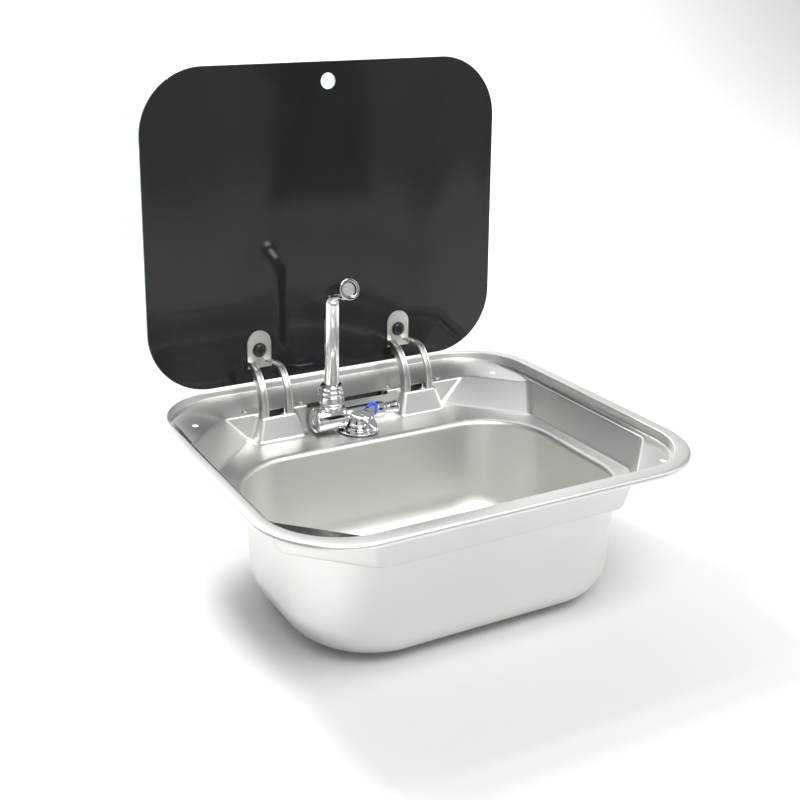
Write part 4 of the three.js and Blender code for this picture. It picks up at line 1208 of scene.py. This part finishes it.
# ------------------------------------------------------------------ lid and hinges
@dataclass
class Lid:
    """The glass pane and what clamps it, built upright about the hinge pivot.

    A washer's two numbers are its radius and its thickness.
    """

    pivot_y: float = 165.2
    pivot_z: float = -11.8
    lean: float = 0.76
    hinge_x: float = 80.5
    width: float = 392.5
    depth: float = 319.0
    corner: float = 64.5
    front: float = 3.8
    thickness: float = 4.0
    foot: float = 14.7
    finger_hole: float = 8.0
    finger_drop: float = 19.5
    screw_height: float = 48.8
    screw_hole: float = 3.0
    front_washer: tuple[float, float] = (7.4, 0.6)
    rear_washer: tuple[float, float] = (9.0, 1.0)

    def both(self) -> list[Point]:
        """Lists the offsets of the two hinges."""
        return [(-self.hinge_x, 0, 0), (self.hinge_x, 0, 0)]

    def frame(self) -> Matrix:
        """Hands back the matrix from the upright lid's frame to the open lid's."""
        lean = Matrix.Rotation(math.radians(-self.lean), 4, "X")
        return Matrix.Translation((0, self.pivot_y, self.pivot_z)) @ lean

    def facing(self) -> Matrix:
        """Hands back the open lid's frame with local Z along the lid's depth, to the back."""
        return self.frame() @ Matrix.Rotation(math.radians(-90), 4, "X")

    def outline(self) -> list[tuple[float, float]]:
        """Lists the pane's outline.

        Returns:
            Places across and up the pane, measured from the pivot.
        """
        points = []
        x, y = self.width / 2 - self.corner, self.depth / 2 - self.corner
        middle = -(self.foot + self.depth / 2)
        for turn, (cx, cy) in enumerate(((x, y), (-x, y), (-x, -y), (x, -y))):
            for k in range(33):
                a = math.radians(90 * (turn + k / 32))
                points.append((cx + self.corner * math.cos(a), middle + cy + self.corner * math.sin(a)))
        return points

    def build(self) -> None:
        """Builds the pane and the clamping pieces."""
        place = self.facing()
        back = self.front + self.thickness
        pane = slab("glass_pane", self.outline(), self.front, back, place, 0.9)
        finger = -(self.foot + self.depth - self.finger_drop)
        tools = [rod_tool(self.finger_hole, 0, 20, place @ Matrix.Translation((0, finger, 0)), 64)]
        for x, _, _ in self.both():
            tools.append(rod_tool(self.screw_hole, 0, 20,
                                  place @ Matrix.Translation((x, -self.screw_height, 0)), 32))
        combine(pane, tools, "DIFFERENCE")
        tidy_mesh(pane, FINE_CREASE)
        across = place.to_3x3() @ Vector((0, 0, 1))
        # Marks the edge faces, which the glass finish paints light green as a painted highlight.
        mark_faces(pane, "edge", lambda _, normal: float(abs(normal.dot(across)) < 0.8))
        dress(pane, Slot.GLASS, Body.LID, ["glass_lid"])
        self.build_clamps()

    def build_clamps(self) -> None:
        """Builds the screws, washers and cap nuts on both sides of the pane."""
        tongue_front = self.front - SEAT_GAP - 2.2
        washer_back = tongue_front - SEAT_GAP
        head_back = washer_back - self.front_washer[1] - SEAT_GAP
        rear = self.front + self.thickness + SEAT_GAP + self.rear_washer[1]
        nut = rear + SEAT_GAP
        place = self.facing() @ Matrix.Translation((0, -self.screw_height, 0))
        head = turned("lid_screws", [
            (0, head_back - 2.6, 0), (3.2, head_back - 2.5, 1.2), (5.4, head_back - 1.6, 1.2),
            (6.4, head_back - 0.4, 0.6), (6.4, head_back, 0.2), (2.5, head_back, 0),
            (2.5, nut + 3.8, 0.3), (0, nut + 3.8, 0),
        ], place)
        tools = []
        for half_x, half_y in ((2.8, 0.65), (0.65, 2.8)):
            corners = [(-half_x, -half_y), (half_x, -half_y), (half_x, half_y), (-half_x, half_y)]
            tools.append(slab("recess", corners, head_back - 4, head_back - 1.3, place))
        combine(head, tools, "DIFFERENCE")
        tidy_mesh(head)
        masters = (
            ("lid_screw", head, Slot.PLASTIC),
            ("front_washer", self.ring(place, *self.front_washer, washer_back), Slot.RUBBER),
            ("rear_washer", self.ring(place, *self.rear_washer, rear), Slot.RUBBER),
            ("cap_nut", self.nut(place, nut), Slot.PLASTIC),
        )
        for node, master, slot in masters:
            piece = repeat(f"{node}s", master, self.both(), slot)
            dress(piece, slot, Body.LID, [f"left_{node}", f"right_{node}"])

    def ring(self, place: Matrix, radius: float, thickness: float, back: float) -> bpy.types.Object:
        """Makes one flat washer.

        Args:
            place: the frame of the screw's axis.
            radius: outer radius.
            thickness: thickness of the washer.
            back: place of its back face along the axis.

        Returns:
            The washer.
        """
        low, bore = back - thickness, self.screw_hole
        return turned("washer", [(bore, low, 0), (radius, low, 0.2), (radius, back, 0.2),
                                 (bore, back, 0), (bore, low, 0)], place)

    @staticmethod
    def nut(place: Matrix, front: float) -> bpy.types.Object:
        """Makes one cap nut: a chamfered hexagon under a dome.

        Args:
            place: the frame of the screw's axis.
            front: place of its front face along the axis.

        Returns:
            The nut.
        """
        radius = 5.77
        turns = [math.radians(60 * k + 30) for k in range(6)]
        hexagon = [(radius * math.cos(a), radius * math.sin(a)) for a in turns]
        body = slab("nut", hexagon, front, front + 3.4, place, 0.25, 20)
        dome = turned("dome", [(0, front + 2, 0), (4.4, front + 2, 0), (4.4, front + 4.6, 1.4),
                               (2.6, front + 6.0, 1.2), (0, front + 6.0, 0)], place)
        return combine(body, [dome], "UNION")


@dataclass
class Hinge:
    """Both spring hinges: pressed arms, springs, rivets, and black plates below their slots that paint the
    shade seen through them.

    Their brackets and pins are the frame's own.
    """

    lid: Lid = field(default_factory=Lid)
    pan: Pan = field(default_factory=Pan)
    tongue_width: float = 26.0
    tongue_thickness: float = 2.2
    tongue_foot: float = 30.0
    tongue_top: float = 68.8
    arm_thickness: float = 3.0
    arm_inner: float = 34.4
    arm_outer: float = 43.5
    arm_outer_at_tongue: float = 38.0
    arm_spread: float = 17.0
    arm_start: float = 86.0
    arm_end: float = 200.0
    arm_steps: int = 60
    flare_span: float = 40.0
    lift_span: float = 8.0
    flange_width: float = 6.5
    web: float = 2.4
    bead: float = 0.7
    bar_half: float = 3.5
    eye: float = 3.6
    eye_bore: float = 2.3
    rivet_offset: float = 30.5
    rivet_y: float = 135.4
    bracket: float = 1.2
    plate: float = 1.0
    # The cheeks, lips and vent plate below are black plates that paint the shade under the slots.
    cheek_x: float = 21.3
    cheek_y: tuple[float, float] = (132.0, 167.0)
    shade_plate_foot: float = -36.0
    lip_y: float = 136.0
    vent_shade_half: float = 57.0
    vent_shade_y: float = 159.0
    vent_shade_foot: float = -38.0
    close_drop: float = 1.1

    def strip_slope(self) -> float:
        """Hands back how far the back strip falls for each millimetre towards the front."""
        fall = self.pan.strip_low - self.pan.strip_high
        return fall / (self.pan.strip_back - self.pan.strip_front)

    def strip_height(self, y: float) -> float:
        """Hands back the height of the back strip's upper face."""
        return -self.pan.strip_high - (self.pan.strip_back - y) * self.strip_slope()

    def arc(self, side: int) -> bpy.types.Object:
        """Makes one side arm, curved about the pivot: a web and a front flange with twin beads.

        Its inner edge rises within a few degrees, so that it clears the slot when the lid is shut.

        Args:
            side: -1 for the left arm, 1 for the right.

        Returns:
            The arm as a solid.
        """
        place = self.lid.frame()

        def blend(value: float, span: float) -> float:
            """Smooth step over the arm's first degrees."""
            t = min(max((value - self.arm_start) / span, 0.0), 1.0)
            return t * t * (3 - 2 * t)

        half = self.tongue_width / 2
        foot = self.tongue_foot + 0.6
        bead = [(0.0, -1.5), (0.25, -0.5), (0.7, -0.1), (1.25, 0.0),
                (1.8, -0.2), (2.3, -0.9), (2.7, -1.9)]
        rings = []
        for k in range(self.arm_steps + 1):
            angle = self.arm_start + (self.arm_end - self.arm_start) * k / self.arm_steps
            spread = blend(angle, self.flare_span)
            face = half + (self.arm_spread - half) * spread
            low = foot + (self.arm_inner - foot) * blend(angle, self.lift_span)
            high = self.arm_outer_at_tongue + (self.arm_outer - self.arm_outer_at_tongue) * spread
            width = self.flange_width + spread
            crown = bead + [(width - x, r) for x, r in reversed(bead)]
            outline = [(face, low), *((face - x, high + r) for x, r in crown), (face - width, high - 2.6),
                       (face - self.web, high - 2.8), (face - self.web, low)]
            a = math.radians(angle)
            rings.append([tuple(place @ Vector((side * x, r * math.cos(a), r * math.sin(a))))
                          for x, r in outline])
        return lofted("hinge_arc", rings)

    def arm(self) -> bpy.types.Object:
        """Makes one hinge arm: tongue, two arcs, two bars and two eyes.

        Returns:
            The arm, on the middle of the sink.
        """
        half = self.tongue_width / 2
        place = self.lid.facing()
        outline = [(-half, -self.tongue_foot), (-half, -(self.tongue_top - half))]
        for k in range(1, 32):
            a = math.radians(180 + 180 * k / 32)
            outline.append((half * math.cos(a), -(self.tongue_top - half) + half * math.sin(a)))
        outline += [(half, -(self.tongue_top - half)), (half, -self.tongue_foot)]
        back = self.lid.front - SEAT_GAP
        plate = slab("hinge_arm", outline, back - self.tongue_thickness, back, place, 0.35)
        hole = rod_tool(self.lid.screw_hole, -5, 20,
                        place @ Matrix.Translation((0, -self.lid.screw_height, 0)), 32)
        combine(plate, [hole], "DIFFERENCE")
        parts = [plate]
        a = math.radians(self.arm_end)
        spin = self.lid.frame() @ Matrix.Rotation(a, 4, "X") @ Matrix(
            ((0, 0, 1, 0), (1, 0, 0, 0), (0, 1, 0, 0), (0, 0, 0, 1)))
        across = self.lid.frame() @ Matrix.Rotation(math.radians(90), 4, "Y")
        for side in (-1, 1):
            faces = sorted(side * (self.arm_spread - depth) for depth in (self.bead, self.arm_thickness))
            corners = [(0, -self.bar_half), (self.arm_outer - 2, -self.bar_half),
                       (self.arm_outer, -self.bar_half + 2), (self.arm_outer, self.bar_half - 1),
                       (self.arm_inner, self.bar_half), (0, self.bar_half)]
            parts.append(self.arc(side))
            parts.append(slab("bar", corners, faces[0], faces[1], spin, 0.2))
            parts.append(turned("eye", [(self.eye_bore, faces[0], 0.2), (self.eye, faces[0], 0.2),
                                        (self.eye, faces[1], 0.2), (self.eye_bore, faces[1], 0.2),
                                        (self.eye_bore, faces[0], 0)], across, 40))
        return merge("hinge_arm_master", parts)

    def rivet(self) -> bpy.types.Object:
        """Makes one domed rivet through the strip, square to it.

        Returns:
            The rivet, on the middle of the sink.
        """
        place = Matrix.Translation((0, self.rivet_y, self.strip_height(self.rivet_y)))
        place = place @ Matrix.Rotation(math.atan(self.strip_slope()), 4, "X")
        grip = SHEET + SEAT_GAP + self.bracket
        return turned("rivet_master", [
            (0, -grip - 1.5, 0), (2.6, -grip - 1.5, 0.5), (2.8, -grip - 0.3, 0.2), (1.5, -grip - 0.3, 0),
            (1.5, 0.1, 0), (2.7, 0.1, 0.1), (3.4, 0.7, 0.2), (3.2, 1.2, 0.4), (2.0, 1.7, 0.8), (0, 1.8, 0),
        ], place, 40)

    def springs(self) -> None:
        """Winds the torsion springs round the pins with Geometry Nodes."""
        turns, coil, wire, pitch = 8, 3.1, 0.45, 1.45
        reach, tail, steps_a_turn = 17.0, 10, 28
        sheet_upright = 0.817
        half = turns * pitch / 2
        first = -math.pi / 2
        last = first + turns * 2 * math.pi + math.radians(self.arm_end)
        bridge = (self.strip_height(self.lid.pivot_y - reach) - sheet_upright - SEAT_GAP
                  - self.bracket - SEAT_GAP - wire)
        path: list[Point] = [(-half, -reach, bridge - self.lid.pivot_z)]
        steps = turns * steps_a_turn
        for i in range(steps + 1):
            a = first + (last - first) * i / steps
            path.append((-half + 2 * half * i / steps, coil * math.cos(a), coil * math.sin(a)))
        bar = math.radians(self.arm_end)
        x, y, z = path[-1]
        y, z = y + tail * math.cos(bar), z + tail * math.sin(bar)
        path += [(x, y, z), (self.arm_spread - self.arm_thickness - SEAT_GAP, y, z)]
        path = [(x, y + self.lid.pivot_y, z + self.lid.pivot_z) for x, y, z in path]
        master = wired("spring_master", path, wire, Slot.SPRING, 12)
        piece = repeat("hinge_springs", master, self.lid.both(), Slot.SPRING)
        dress(piece, Slot.SPRING, Body.BASIN, ["left_hinge_spring", "right_hinge_spring"])

    def under_strip(self, name: str, x: tuple[float, float], y: tuple[float, float], foot: float,
                    drop: float) -> bpy.types.Object:
        """Makes a plate that hangs below the back strip, its top edge along the strip.

        Args:
            name: the object's name.
            x: left and right faces.
            y: front and back faces.
            foot: height of its lower edge.
            drop: distance of its top below the strip's upper face.

        Returns:
            The plate.
        """
        front, back = (self.strip_height(v) - drop for v in y)
        outline = [(y[0], foot), (y[1], foot), (y[1], back), (y[0], front)]
        return lofted(name, [[(v, u, w) for u, w in outline] for v in x])

    def housing(self) -> None:
        """Makes black plates below the slots that paint the shade seen through them: cheeks and two lips at
        each hinge, and a plate behind the vent slot.
        """
        outer = self.cheek_x + self.plate
        cheeks = [self.under_strip("cheek", (side * self.cheek_x, side * outer), self.cheek_y,
                                   self.shade_plate_foot, 2.5) for side in (-1, 1)]
        lips = []
        for half, y, foot in ((9, self.lip_y, self.shade_plate_foot), (13.2, self.lip_y + 1.2, -22.2)):
            lips.append(self.under_strip("lip", (-half, half), (y, y + self.plate), foot, self.close_drop))
        master = merge("housing_master", [*cheeks, *lips])
        # The hinges' black plates: painted shade under their slots.
        plates = repeat("hinge_housings", master, self.lid.both(), Slot.PLASTIC)
        dress(plates, Slot.PLASTIC, Body.BASIN, [])
        # A black plate behind the vent slot: painted shade seen through it.
        vent_shade = self.under_strip("vent_baffle", (-self.vent_shade_half, self.vent_shade_half),
                                  (self.vent_shade_y, self.vent_shade_y + self.plate), self.vent_shade_foot,
                                  self.close_drop)
        dress(vent_shade, Slot.PLASTIC, Body.BASIN, [])

    def build(self) -> None:
        """Builds what shows of both hinges."""
        both = self.lid.both()
        arms = repeat("hinge_arms", self.arm(), both, Slot.HINGE)
        dress(arms, Slot.HINGE, Body.LID, ["left_hinge_arm", "right_hinge_arm"])
        spots = [(x + side * self.rivet_offset, 0, 0) for x, _, _ in both for side in (-1, 1)]
        rivets = repeat("rivets", self.rivet(), spots, Slot.HINGE)
        names = [f"{hand}_{place}_rivet" for hand in ("left", "right") for place in ("outer", "inner")]
        dress(rivets, Slot.HINGE, Body.BASIN, names)
        self.springs()
        self.housing()
        for hand in ("left", "right"):
            dress_node(f"{hand}_hinge_bracket", Slot.HINGE)
            dress_node(f"{hand}_hinge_pin", Slot.HINGE)


# ------------------------------------------------------------------ tap
@dataclass
class Tap:
    """The folding cold tap: base, body, hub, spout and aerator."""

    axis_y: float = 110.0
    axis_z: float = -25.3
    barrel_radius: float = 8.5
    barrel_left: float = -14.0
    barrel_right: float = 30.0
    hub_radius: float = 12.0
    hub_left: float = -44.0
    hub_right: float = -14.6
    spout_x: float = -28.0
    neck_top: float = -9.0
    collar_radius: float = 13.0
    collar_top: float = 11.0
    spout_radius: float = 7.6
    spout_straight: float = 93.0
    spout_bend: float = 16.0
    spout_rise: float = 19.0
    spout_arm: float = 24.0
    aerator_radius: float = 10.3
    aerator_length: float = 11.0
    pillar_x: float = -1.0
    pillar_y: float = 103.0
    pillar_radius: float = 12.5
    base_radius: float = 21.0
    base_low: float = -38.9
    foot: float = -34.6

    def along_x(self) -> Matrix:
        """Hands back the barrel's frame with local Z along X."""
        return Matrix.Translation((0, self.axis_y, self.axis_z)) @ Matrix.Rotation(math.radians(90), 4, "Y")

    def base(self) -> None:
        """Makes the round foot that stands on the ledge."""
        low, pillar = self.base_low, self.pillar_radius
        place = upright(self.pillar_x, self.pillar_y)
        foot = turned("tap_foot", [
            (7.5, low, 0), (self.base_radius, low, 0.2), (self.base_radius, low + 0.9, 0.5),
            (pillar + 1.6, low + 1.1, 0.5), (pillar + 0.8, low + 3.2, 0.8), (pillar - 0.4, low + 4.0, 0.4),
            (7.5, low + 4.0, 0), (7.5, low, 0),
        ], place)
        dress(foot, Slot.CHROME, Body.BASIN, ["tap_base"])

    def body(self) -> None:
        """Makes the cast body: pillar, barrel and the bonnet under the lever."""
        lever = Lever()
        waist = self.pillar_radius - 1
        pillar = turned("tap_body_casting", [
            (0, self.foot, 0), (waist, self.foot, 0.3), (waist + 1, self.foot + 2, 0.8),
            (waist, self.foot + 6, 2), (waist * 0.75, self.foot + 11, 2), (0, self.foot + 12, 0),
        ], upright(self.pillar_x, self.pillar_y))
        barrel = turned("barrel", [
            (0, self.hub_left + 1, 0), (6, self.hub_left + 1, 0), (6, self.barrel_left, 0),
            (self.barrel_radius, self.barrel_left, 0.3), (self.barrel_radius, self.barrel_right - 9, 0.2),
            (self.barrel_radius - 0.5, self.barrel_right - 8.6, 0.2),
            (self.barrel_radius - 0.5, self.barrel_right - 8.0, 0.2),
            (self.barrel_radius, self.barrel_right - 7.6, 0.2),
            (self.barrel_radius, self.barrel_right, 1.2), (0, self.barrel_right, 0),
        ], self.along_x())
        top = -lever.thickness / 2 - SEAT_GAP
        bonnet = turned("bonnet", [(0, top - 5, 0), (7, top - 5, 0), (7, top, 0.6), (3.3, top, 0),
                                   (0, top, 0)], lever.frame())
        body = combine(pillar, [barrel, bonnet], "UNION")
        combine(body, [rod_tool(lever.tip + 1.8, top, top + 12, lever.frame())], "DIFFERENCE")
        tidy_mesh(body)
        dress(body, Slot.CHROME, Body.BASIN, ["tap_body"])

    def plug(self) -> None:
        """Makes the closing plug on the barrel's right end."""
        low = self.barrel_right + SEAT_GAP
        plug = turned("barrel_plug", [
            (0, low, 0), (6, low, 0.3), (6, low + 3, 0.3), (5.2, low + 3.6, 0.3), (5.2, low + 5, 0.3),
            (6, low + 5.6, 0.3), (6, low + 13, 0.3), (6.8, low + 13, 0.4), (6.8, low + 16, 0.6),
            (6.2, low + 17, 0.5), (0, low + 17, 0),
        ], self.along_x())
        dress(plug, Slot.CHROME, Body.BASIN, ["tap_plug"])

    def hub(self) -> None:
        """Makes the folding hub with its neck, its end cap and the collar nut."""
        left, right, r = self.hub_left, self.hub_right, self.hub_radius
        shell = turned("hub_shell", [
            (6.3, left, 0), (r, left, 0.5), (r, right - 4.2, 0.3), (r - 0.7, right - 3.9, 0.2),
            (r - 0.7, right - 3.3, 0.2), (r, right - 3.0, 0.3), (r, right, 0.8), (6.3, right, 0),
            (6.3, left, 0),
        ], self.along_x())
        place = upright(self.spout_x, self.axis_y)
        neck = turned("neck", [
            (0, self.axis_z + 7, 0), (r - 4, self.axis_z + 7, 0), (r - 4, self.neck_top - 7, 2),
            (r, self.neck_top - 1.5, 1), (r, self.neck_top, 0.4), (0, self.neck_top, 0),
        ], place)
        hub = combine(shell, [neck], "UNION")
        tidy_mesh(hub)
        dress(hub, Slot.CHROME, Body.HUB, ["tap_hub"])
        outer = left - SEAT_GAP
        cap = turned("hub_end_cap", [
            (0, outer - 1.8, 0), (4.0, outer - 1.8, 0.4), (4.8, outer - 2.5, 0.4), (8.0, outer - 2.5, 0.4),
            (8.8, outer - 3, 0.4), (11.0, outer - 3, 0.6), (12.4, outer - 1.9, 0.6), (12.4, outer, 0.4),
            (0, outer, 0),
        ], self.along_x())
        dress(cap, Slot.CHROME, Body.HUB, ["tap_end_cap"])
        low, high, c = self.neck_top + SEAT_GAP, self.collar_top, self.collar_radius
        waist = low + (high - low) * 0.48
        collar = turned("collar_nut", [
            (7.9, low, 0), (c - 0.6, low, 0.6), (c, low + 1.5, 0.8), (c, waist - 1.2, 0.5),
            (c - 1.3, waist, 0.5), (c, waist + 1.2, 0.5), (c, high - 6, 0.8), (c - 1.4, high - 4.8, 0.6),
            (c - 1.4, high - 1.8, 0.8), (c - 3.2, high, 0.8), (7.9, high, 0), (7.9, low, 0),
        ], place)
        dress(collar, Slot.CHROME, Body.HUB, ["tap_collar"])

    def spout_path(self, reach: float, steps: int = 22) -> tuple[list[Point], Matrix]:
        """Follows the spout's centre line.

        Args:
            reach: length of the straight arm after the bend.
            steps: points round the bend.

        Returns:
            The points, and the frame at the end with local Z along the arm.
        """
        turn = math.radians(90 - self.spout_rise)
        path: list[Point] = [(self.spout_x, self.axis_y, self.neck_top + SEAT_GAP + k * 12.0)
                             for k in range(8)]
        path.append((self.spout_x, self.axis_y, self.spout_straight))
        y = z = 0.0
        for i in range(1, steps + 1):
            a = turn * i / steps
            y = self.axis_y - self.spout_bend * (1 - math.cos(a))
            z = self.spout_straight + self.spout_bend * math.sin(a)
            path.append((self.spout_x, y, z))
        y -= reach * math.sin(turn)
        z += reach * math.cos(turn)
        path.append((self.spout_x, y, z))
        return path, Matrix.Translation((self.spout_x, y, z)) @ Matrix.Rotation(turn, 4, "X")

    def spout(self) -> None:
        """Makes the bent tube, the aerator and its screen."""
        path, _ = self.spout_path(self.spout_arm)
        tube = wired("spout_tube_bent", path, self.spout_radius, Slot.CHROME, 40)
        bore = [path[0][:2] + (path[0][2] - 3.0,), *path[1:-1], self.spout_path(self.spout_arm + 4)[0][-1]]
        combine(tube, [wired("bore", bore, self.spout_radius - 1.2, Slot.CHROME, 32)], "DIFFERENCE")
        tidy_mesh(tube)
        dress(tube, Slot.CHROME, Body.SPOUT, ["spout_tube"])
        length, r = self.aerator_length, self.aerator_radius
        _, place = self.spout_path(self.spout_arm - length + 5)
        housing = turned("aerator_shell", [
            (7.9, 0, 0), (r - 1.4, 0, 0.3), (r, 1.6, 0.8), (r, length, 0.9), (r - 2.2, length, 0.4),
            (7.5, length - 1.4, 0.3), (7.5, length - 4, 0), (7.9, length - 4, 0), (7.9, 0, 0),
        ], place)
        dress(housing, Slot.CHROME, Body.SPOUT, ["aerator_housing"])
        low = length - 3.4
        screen = turned("aerator_gauze_disc", [
            (0, low, 0), (6.6, low, 0), (6.6, low + 1.2, 0.3), (5.2, low + 1.7, 0.3), (0, low + 1.7, 0),
        ], place)
        dress(screen, Slot.SCREEN, Body.SPOUT, ["aerator_screen"])

    def build(self) -> None:
        """Builds the whole tap but its lever."""
        self.base()
        self.body()
        self.plug()
        self.hub()
        self.spout()
        for node, slot in (("tap_gasket", Slot.RUBBER), ("tap_tail", Slot.BRASS),
                           ("tap_clamp_washer", Slot.PAN), ("tap_clamp_nut", Slot.BRASS),
                           ("tap_inlet", Slot.BRASS)):
            dress_node(node, slot)


@dataclass
class Lever:
    """The three-lobed lever with its cold mark."""

    x: float = 2.0
    y: float = 91.5
    z: float = -23.0
    tilt: float = 34.8
    tip: float = 17.5
    core: float = 7.6
    thickness: float = 6.0
    first_lobe: float = 40.0
    mark_half: int = 26
    mark_proud: float = 1.5
    mark_lap: float = 1.3
    mark_low: float = -2.4
    mark_rise: float = 0.9

    def frame(self) -> Matrix:
        """Hands back the lever's frame with local Z along its axis."""
        tilt = Matrix.Rotation(math.radians(self.tilt), 4, "X")
        return Matrix.Translation((self.x, self.y, self.z)) @ tilt

    def radius(self, angle: float) -> float:
        """Hands back the outline's radius at an angle in degrees."""
        swing = 0.5 + 0.5 * math.cos(3 * math.radians(angle - self.first_lobe))
        return self.core + (self.tip - self.core) * swing**2.6

    def edge(self, angle: float, grow: float) -> tuple[float, float]:
        """Finds a point of the outline.

        Args:
            angle: its angle in degrees.
            grow: how far it is moved outwards.

        Returns:
            The point.
        """
        def at(a: float) -> Vector:
            """Hands back the plain outline point."""
            return Vector((math.cos(math.radians(a)), math.sin(math.radians(a)))) * self.radius(a)

        along = (at(angle + 0.5) - at(angle - 0.5)).normalized()
        point = at(angle) + Vector((along.y, -along.x)) * grow
        return point.x, point.y

    def build(self) -> None:
        """Builds the lever, its mark and the spindle's finish."""
        outline = [self.edge(3.0 * k, 0.0) for k in range(120)]
        half = self.thickness / 2
        lever = slab("lever", outline, -half, half, self.frame(), 0.9)
        cap = turned("lever_cap", [(0, 0, 0), (6, 0, 0), (6, half + 0.7, 0.6), (4.6, half + 1.4, 0.6),
                                   (0, half + 1.5, 0)], self.frame())
        combine(lever, [cap], "UNION")
        combine(lever, [rod_tool(3.3, -half - 2, 1, self.frame(), 40)], "DIFFERENCE")
        tidy_mesh(lever)
        dress(lever, Slot.CHROME, Body.LEVER, ["tap_knob"])
        span = [self.first_lobe - self.mark_half + 2 * k for k in range(self.mark_half + 1)]
        outer = [self.edge(a, self.mark_proud) for a in span]
        strip = outer + [self.edge(a, SEAT_GAP) for a in reversed(span)]
        lap = outer + [self.edge(a, -self.mark_lap) for a in reversed(span)]
        high = half + self.mark_rise
        mark = slab("cold_mark", strip, self.mark_low, high, self.frame(), 0.3)
        lip = slab("mark_lip", lap, half + SEAT_GAP, high, self.frame(), 0.1)
        combine(mark, [lip], "UNION")
        tidy_mesh(mark)
        dress(mark, Slot.MARK, Body.LEVER, ["knob_mark"])
        dress_node("knob_spindle", Slot.BRASS)


# ------------------------------------------------------------------ studio
@dataclass
class Studio:
    """Floor, backdrop, lights and camera."""

    eye: Point = (-530.4, -880.5, 414.2 + RIM_HEIGHT)
    azimuth: float = -26.64
    elevation: float = 14.69
    lens: float = 53.36
    shift: tuple[float, float] = (0.0919, -0.157)

    def camera(self) -> None:
        """Sets the camera at the photograph's angle."""
        data = bpy.data.cameras.new("camera")
        data.lens = self.lens
        data.sensor_width = 36
        data.shift_x, data.shift_y = self.shift
        data.clip_end = 50
        a, e = math.radians(self.azimuth), math.radians(self.elevation)
        back = Vector((math.sin(a) * math.cos(e), -math.cos(a) * math.cos(e), math.sin(e)))
        right = Vector((math.cos(a), math.sin(a), 0))
        turn = Matrix((right, back.cross(right), back)).transposed().to_4x4()
        camera = placed("camera", data)
        camera.matrix_world = Matrix.Translation(Vector(self.eye) * MM) @ turn
        bpy.context.scene.camera = camera

    def light(self, name: str, place: Point, target: Point, size: tuple[float, float], power: float) -> None:
        """Adds one soft box.

        Args:
            name: the lamp's name.
            place: its middle, in metres.
            target: the point it faces, in metres.
            size: width and height, in metres.
            power: watts.
        """
        data = bpy.data.lights.new(name, "AREA")
        data.shape = "RECTANGLE"
        data.size, data.size_y = size
        data.energy = power
        aim = Vector(target) - Vector(place)
        lamp = placed(name, data)
        lamp.matrix_world = Matrix.Translation(place) @ aim.to_track_quat("-Z", "Y").to_matrix().to_4x4()

    def stage(self) -> None:
        """Lays the floor that sweeps up into a backdrop."""
        front, bend, radius, top, half, below = -4.0, 1.2, 1.4, 5.0, 6.0, 0.0005
        rows = [(front, 0.0), (bend, 0.0)]
        rows += [(bend + radius * math.sin(a), radius * (1 - math.cos(a))) for a in quarter(16)[1:]]
        rows.append((bend + radius, top))
        vertices = [(x, y, z - below) for y, z in rows for x in (-half, half)]
        faces = [(2 * i, 2 * i + 1, 2 * i + 3, 2 * i + 2) for i in range(len(rows) - 1)]
        floor = raw_mesh("floor", vertices, [], faces)
        floor.data.shade_smooth()
        floor.data.materials.append(StudioPaint("studio_white", (0.72, 0.72, 0.72)).make())

    def flag(self, name: str, place: Point, size: tuple[float, float]) -> None:
        """Stands one dark card for the chrome to mirror, which no camera sees by itself.

        Args:
            name: the card's name.
            place: its middle, in metres.
            size: width and height, in metres.
        """
        w, h = size[0] / 2, size[1] / 2
        aim = (Vector((0, 0.1, 0.15)) - Vector(place)).to_track_quat("Z", "Y").to_matrix().to_4x4()
        card = raw_mesh(name, [(-w, -h, 0), (w, -h, 0), (w, h, 0), (-w, h, 0)], [], [(0, 1, 2, 3)])
        card.data.transform(Matrix.Translation(place) @ aim)
        card.data.materials.append(StudioPaint(f"{name}_cloth", (0.01, 0.01, 0.01)).make())
        card.visible_camera = False

    def world(self) -> None:
        """Sets the even light of the room."""
        world = bpy.data.worlds.new("studio")
        world.use_nodes = True
        background = world.node_tree.nodes["Background"]
        background.inputs["Color"].default_value = (0.92, 0.95, 1.0, 1.0)
        background.inputs["Strength"].default_value = 0.39
        bpy.context.scene.world = world

    def build(self) -> None:
        """Builds the studio."""
        self.camera()
        self.stage()
        self.world()
        self.light("key", (-0.5, 1.85, 2.3), (0, 0, 0.1), (0.6, 0.6), 80)
        self.light("front", (-1.5, -2.4, 1.3), (0, 0, 0.1), (2.2, 1.6), 8)
        self.light("side", (2.3, -1.2, 1.3), (0, 0, 0.15), (1.0, 1.6), 9)
        self.light("top", (0.1, -1.3, 2.25), (0, 0, 0.1), (1.8, 1.3), 54)
        self.light("backdrop", (0.3, 1.1, 2.2), (0.3, 2.6, 0.9), (3.0, 0.8), 60)
        self.flag("left_flag", (-0.75, -0.62, 0.42), (0.34, 0.7))
        self.flag("right_flag", (0.62, -1.15, 0.5), (0.3, 0.9))
        self.flag("rear_flag", (-0.72, -1.5, 0.6), (0.22, 1.0))
        bpy.context.scene.view_settings.view_transform = "Standard"


def main() -> None:
    """Builds the whole scene round the frame."""
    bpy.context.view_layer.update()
    Studio().build()
    for part in (Pan(), Lid(), Hinge(), Tap(), Lever()):
        part.build()
        LOG.info("built %s", type(part).__name__)


if __name__ == "__main__":
    logging.basicConfig(level=logging.INFO, format="%(name)s %(message)s")
    main()
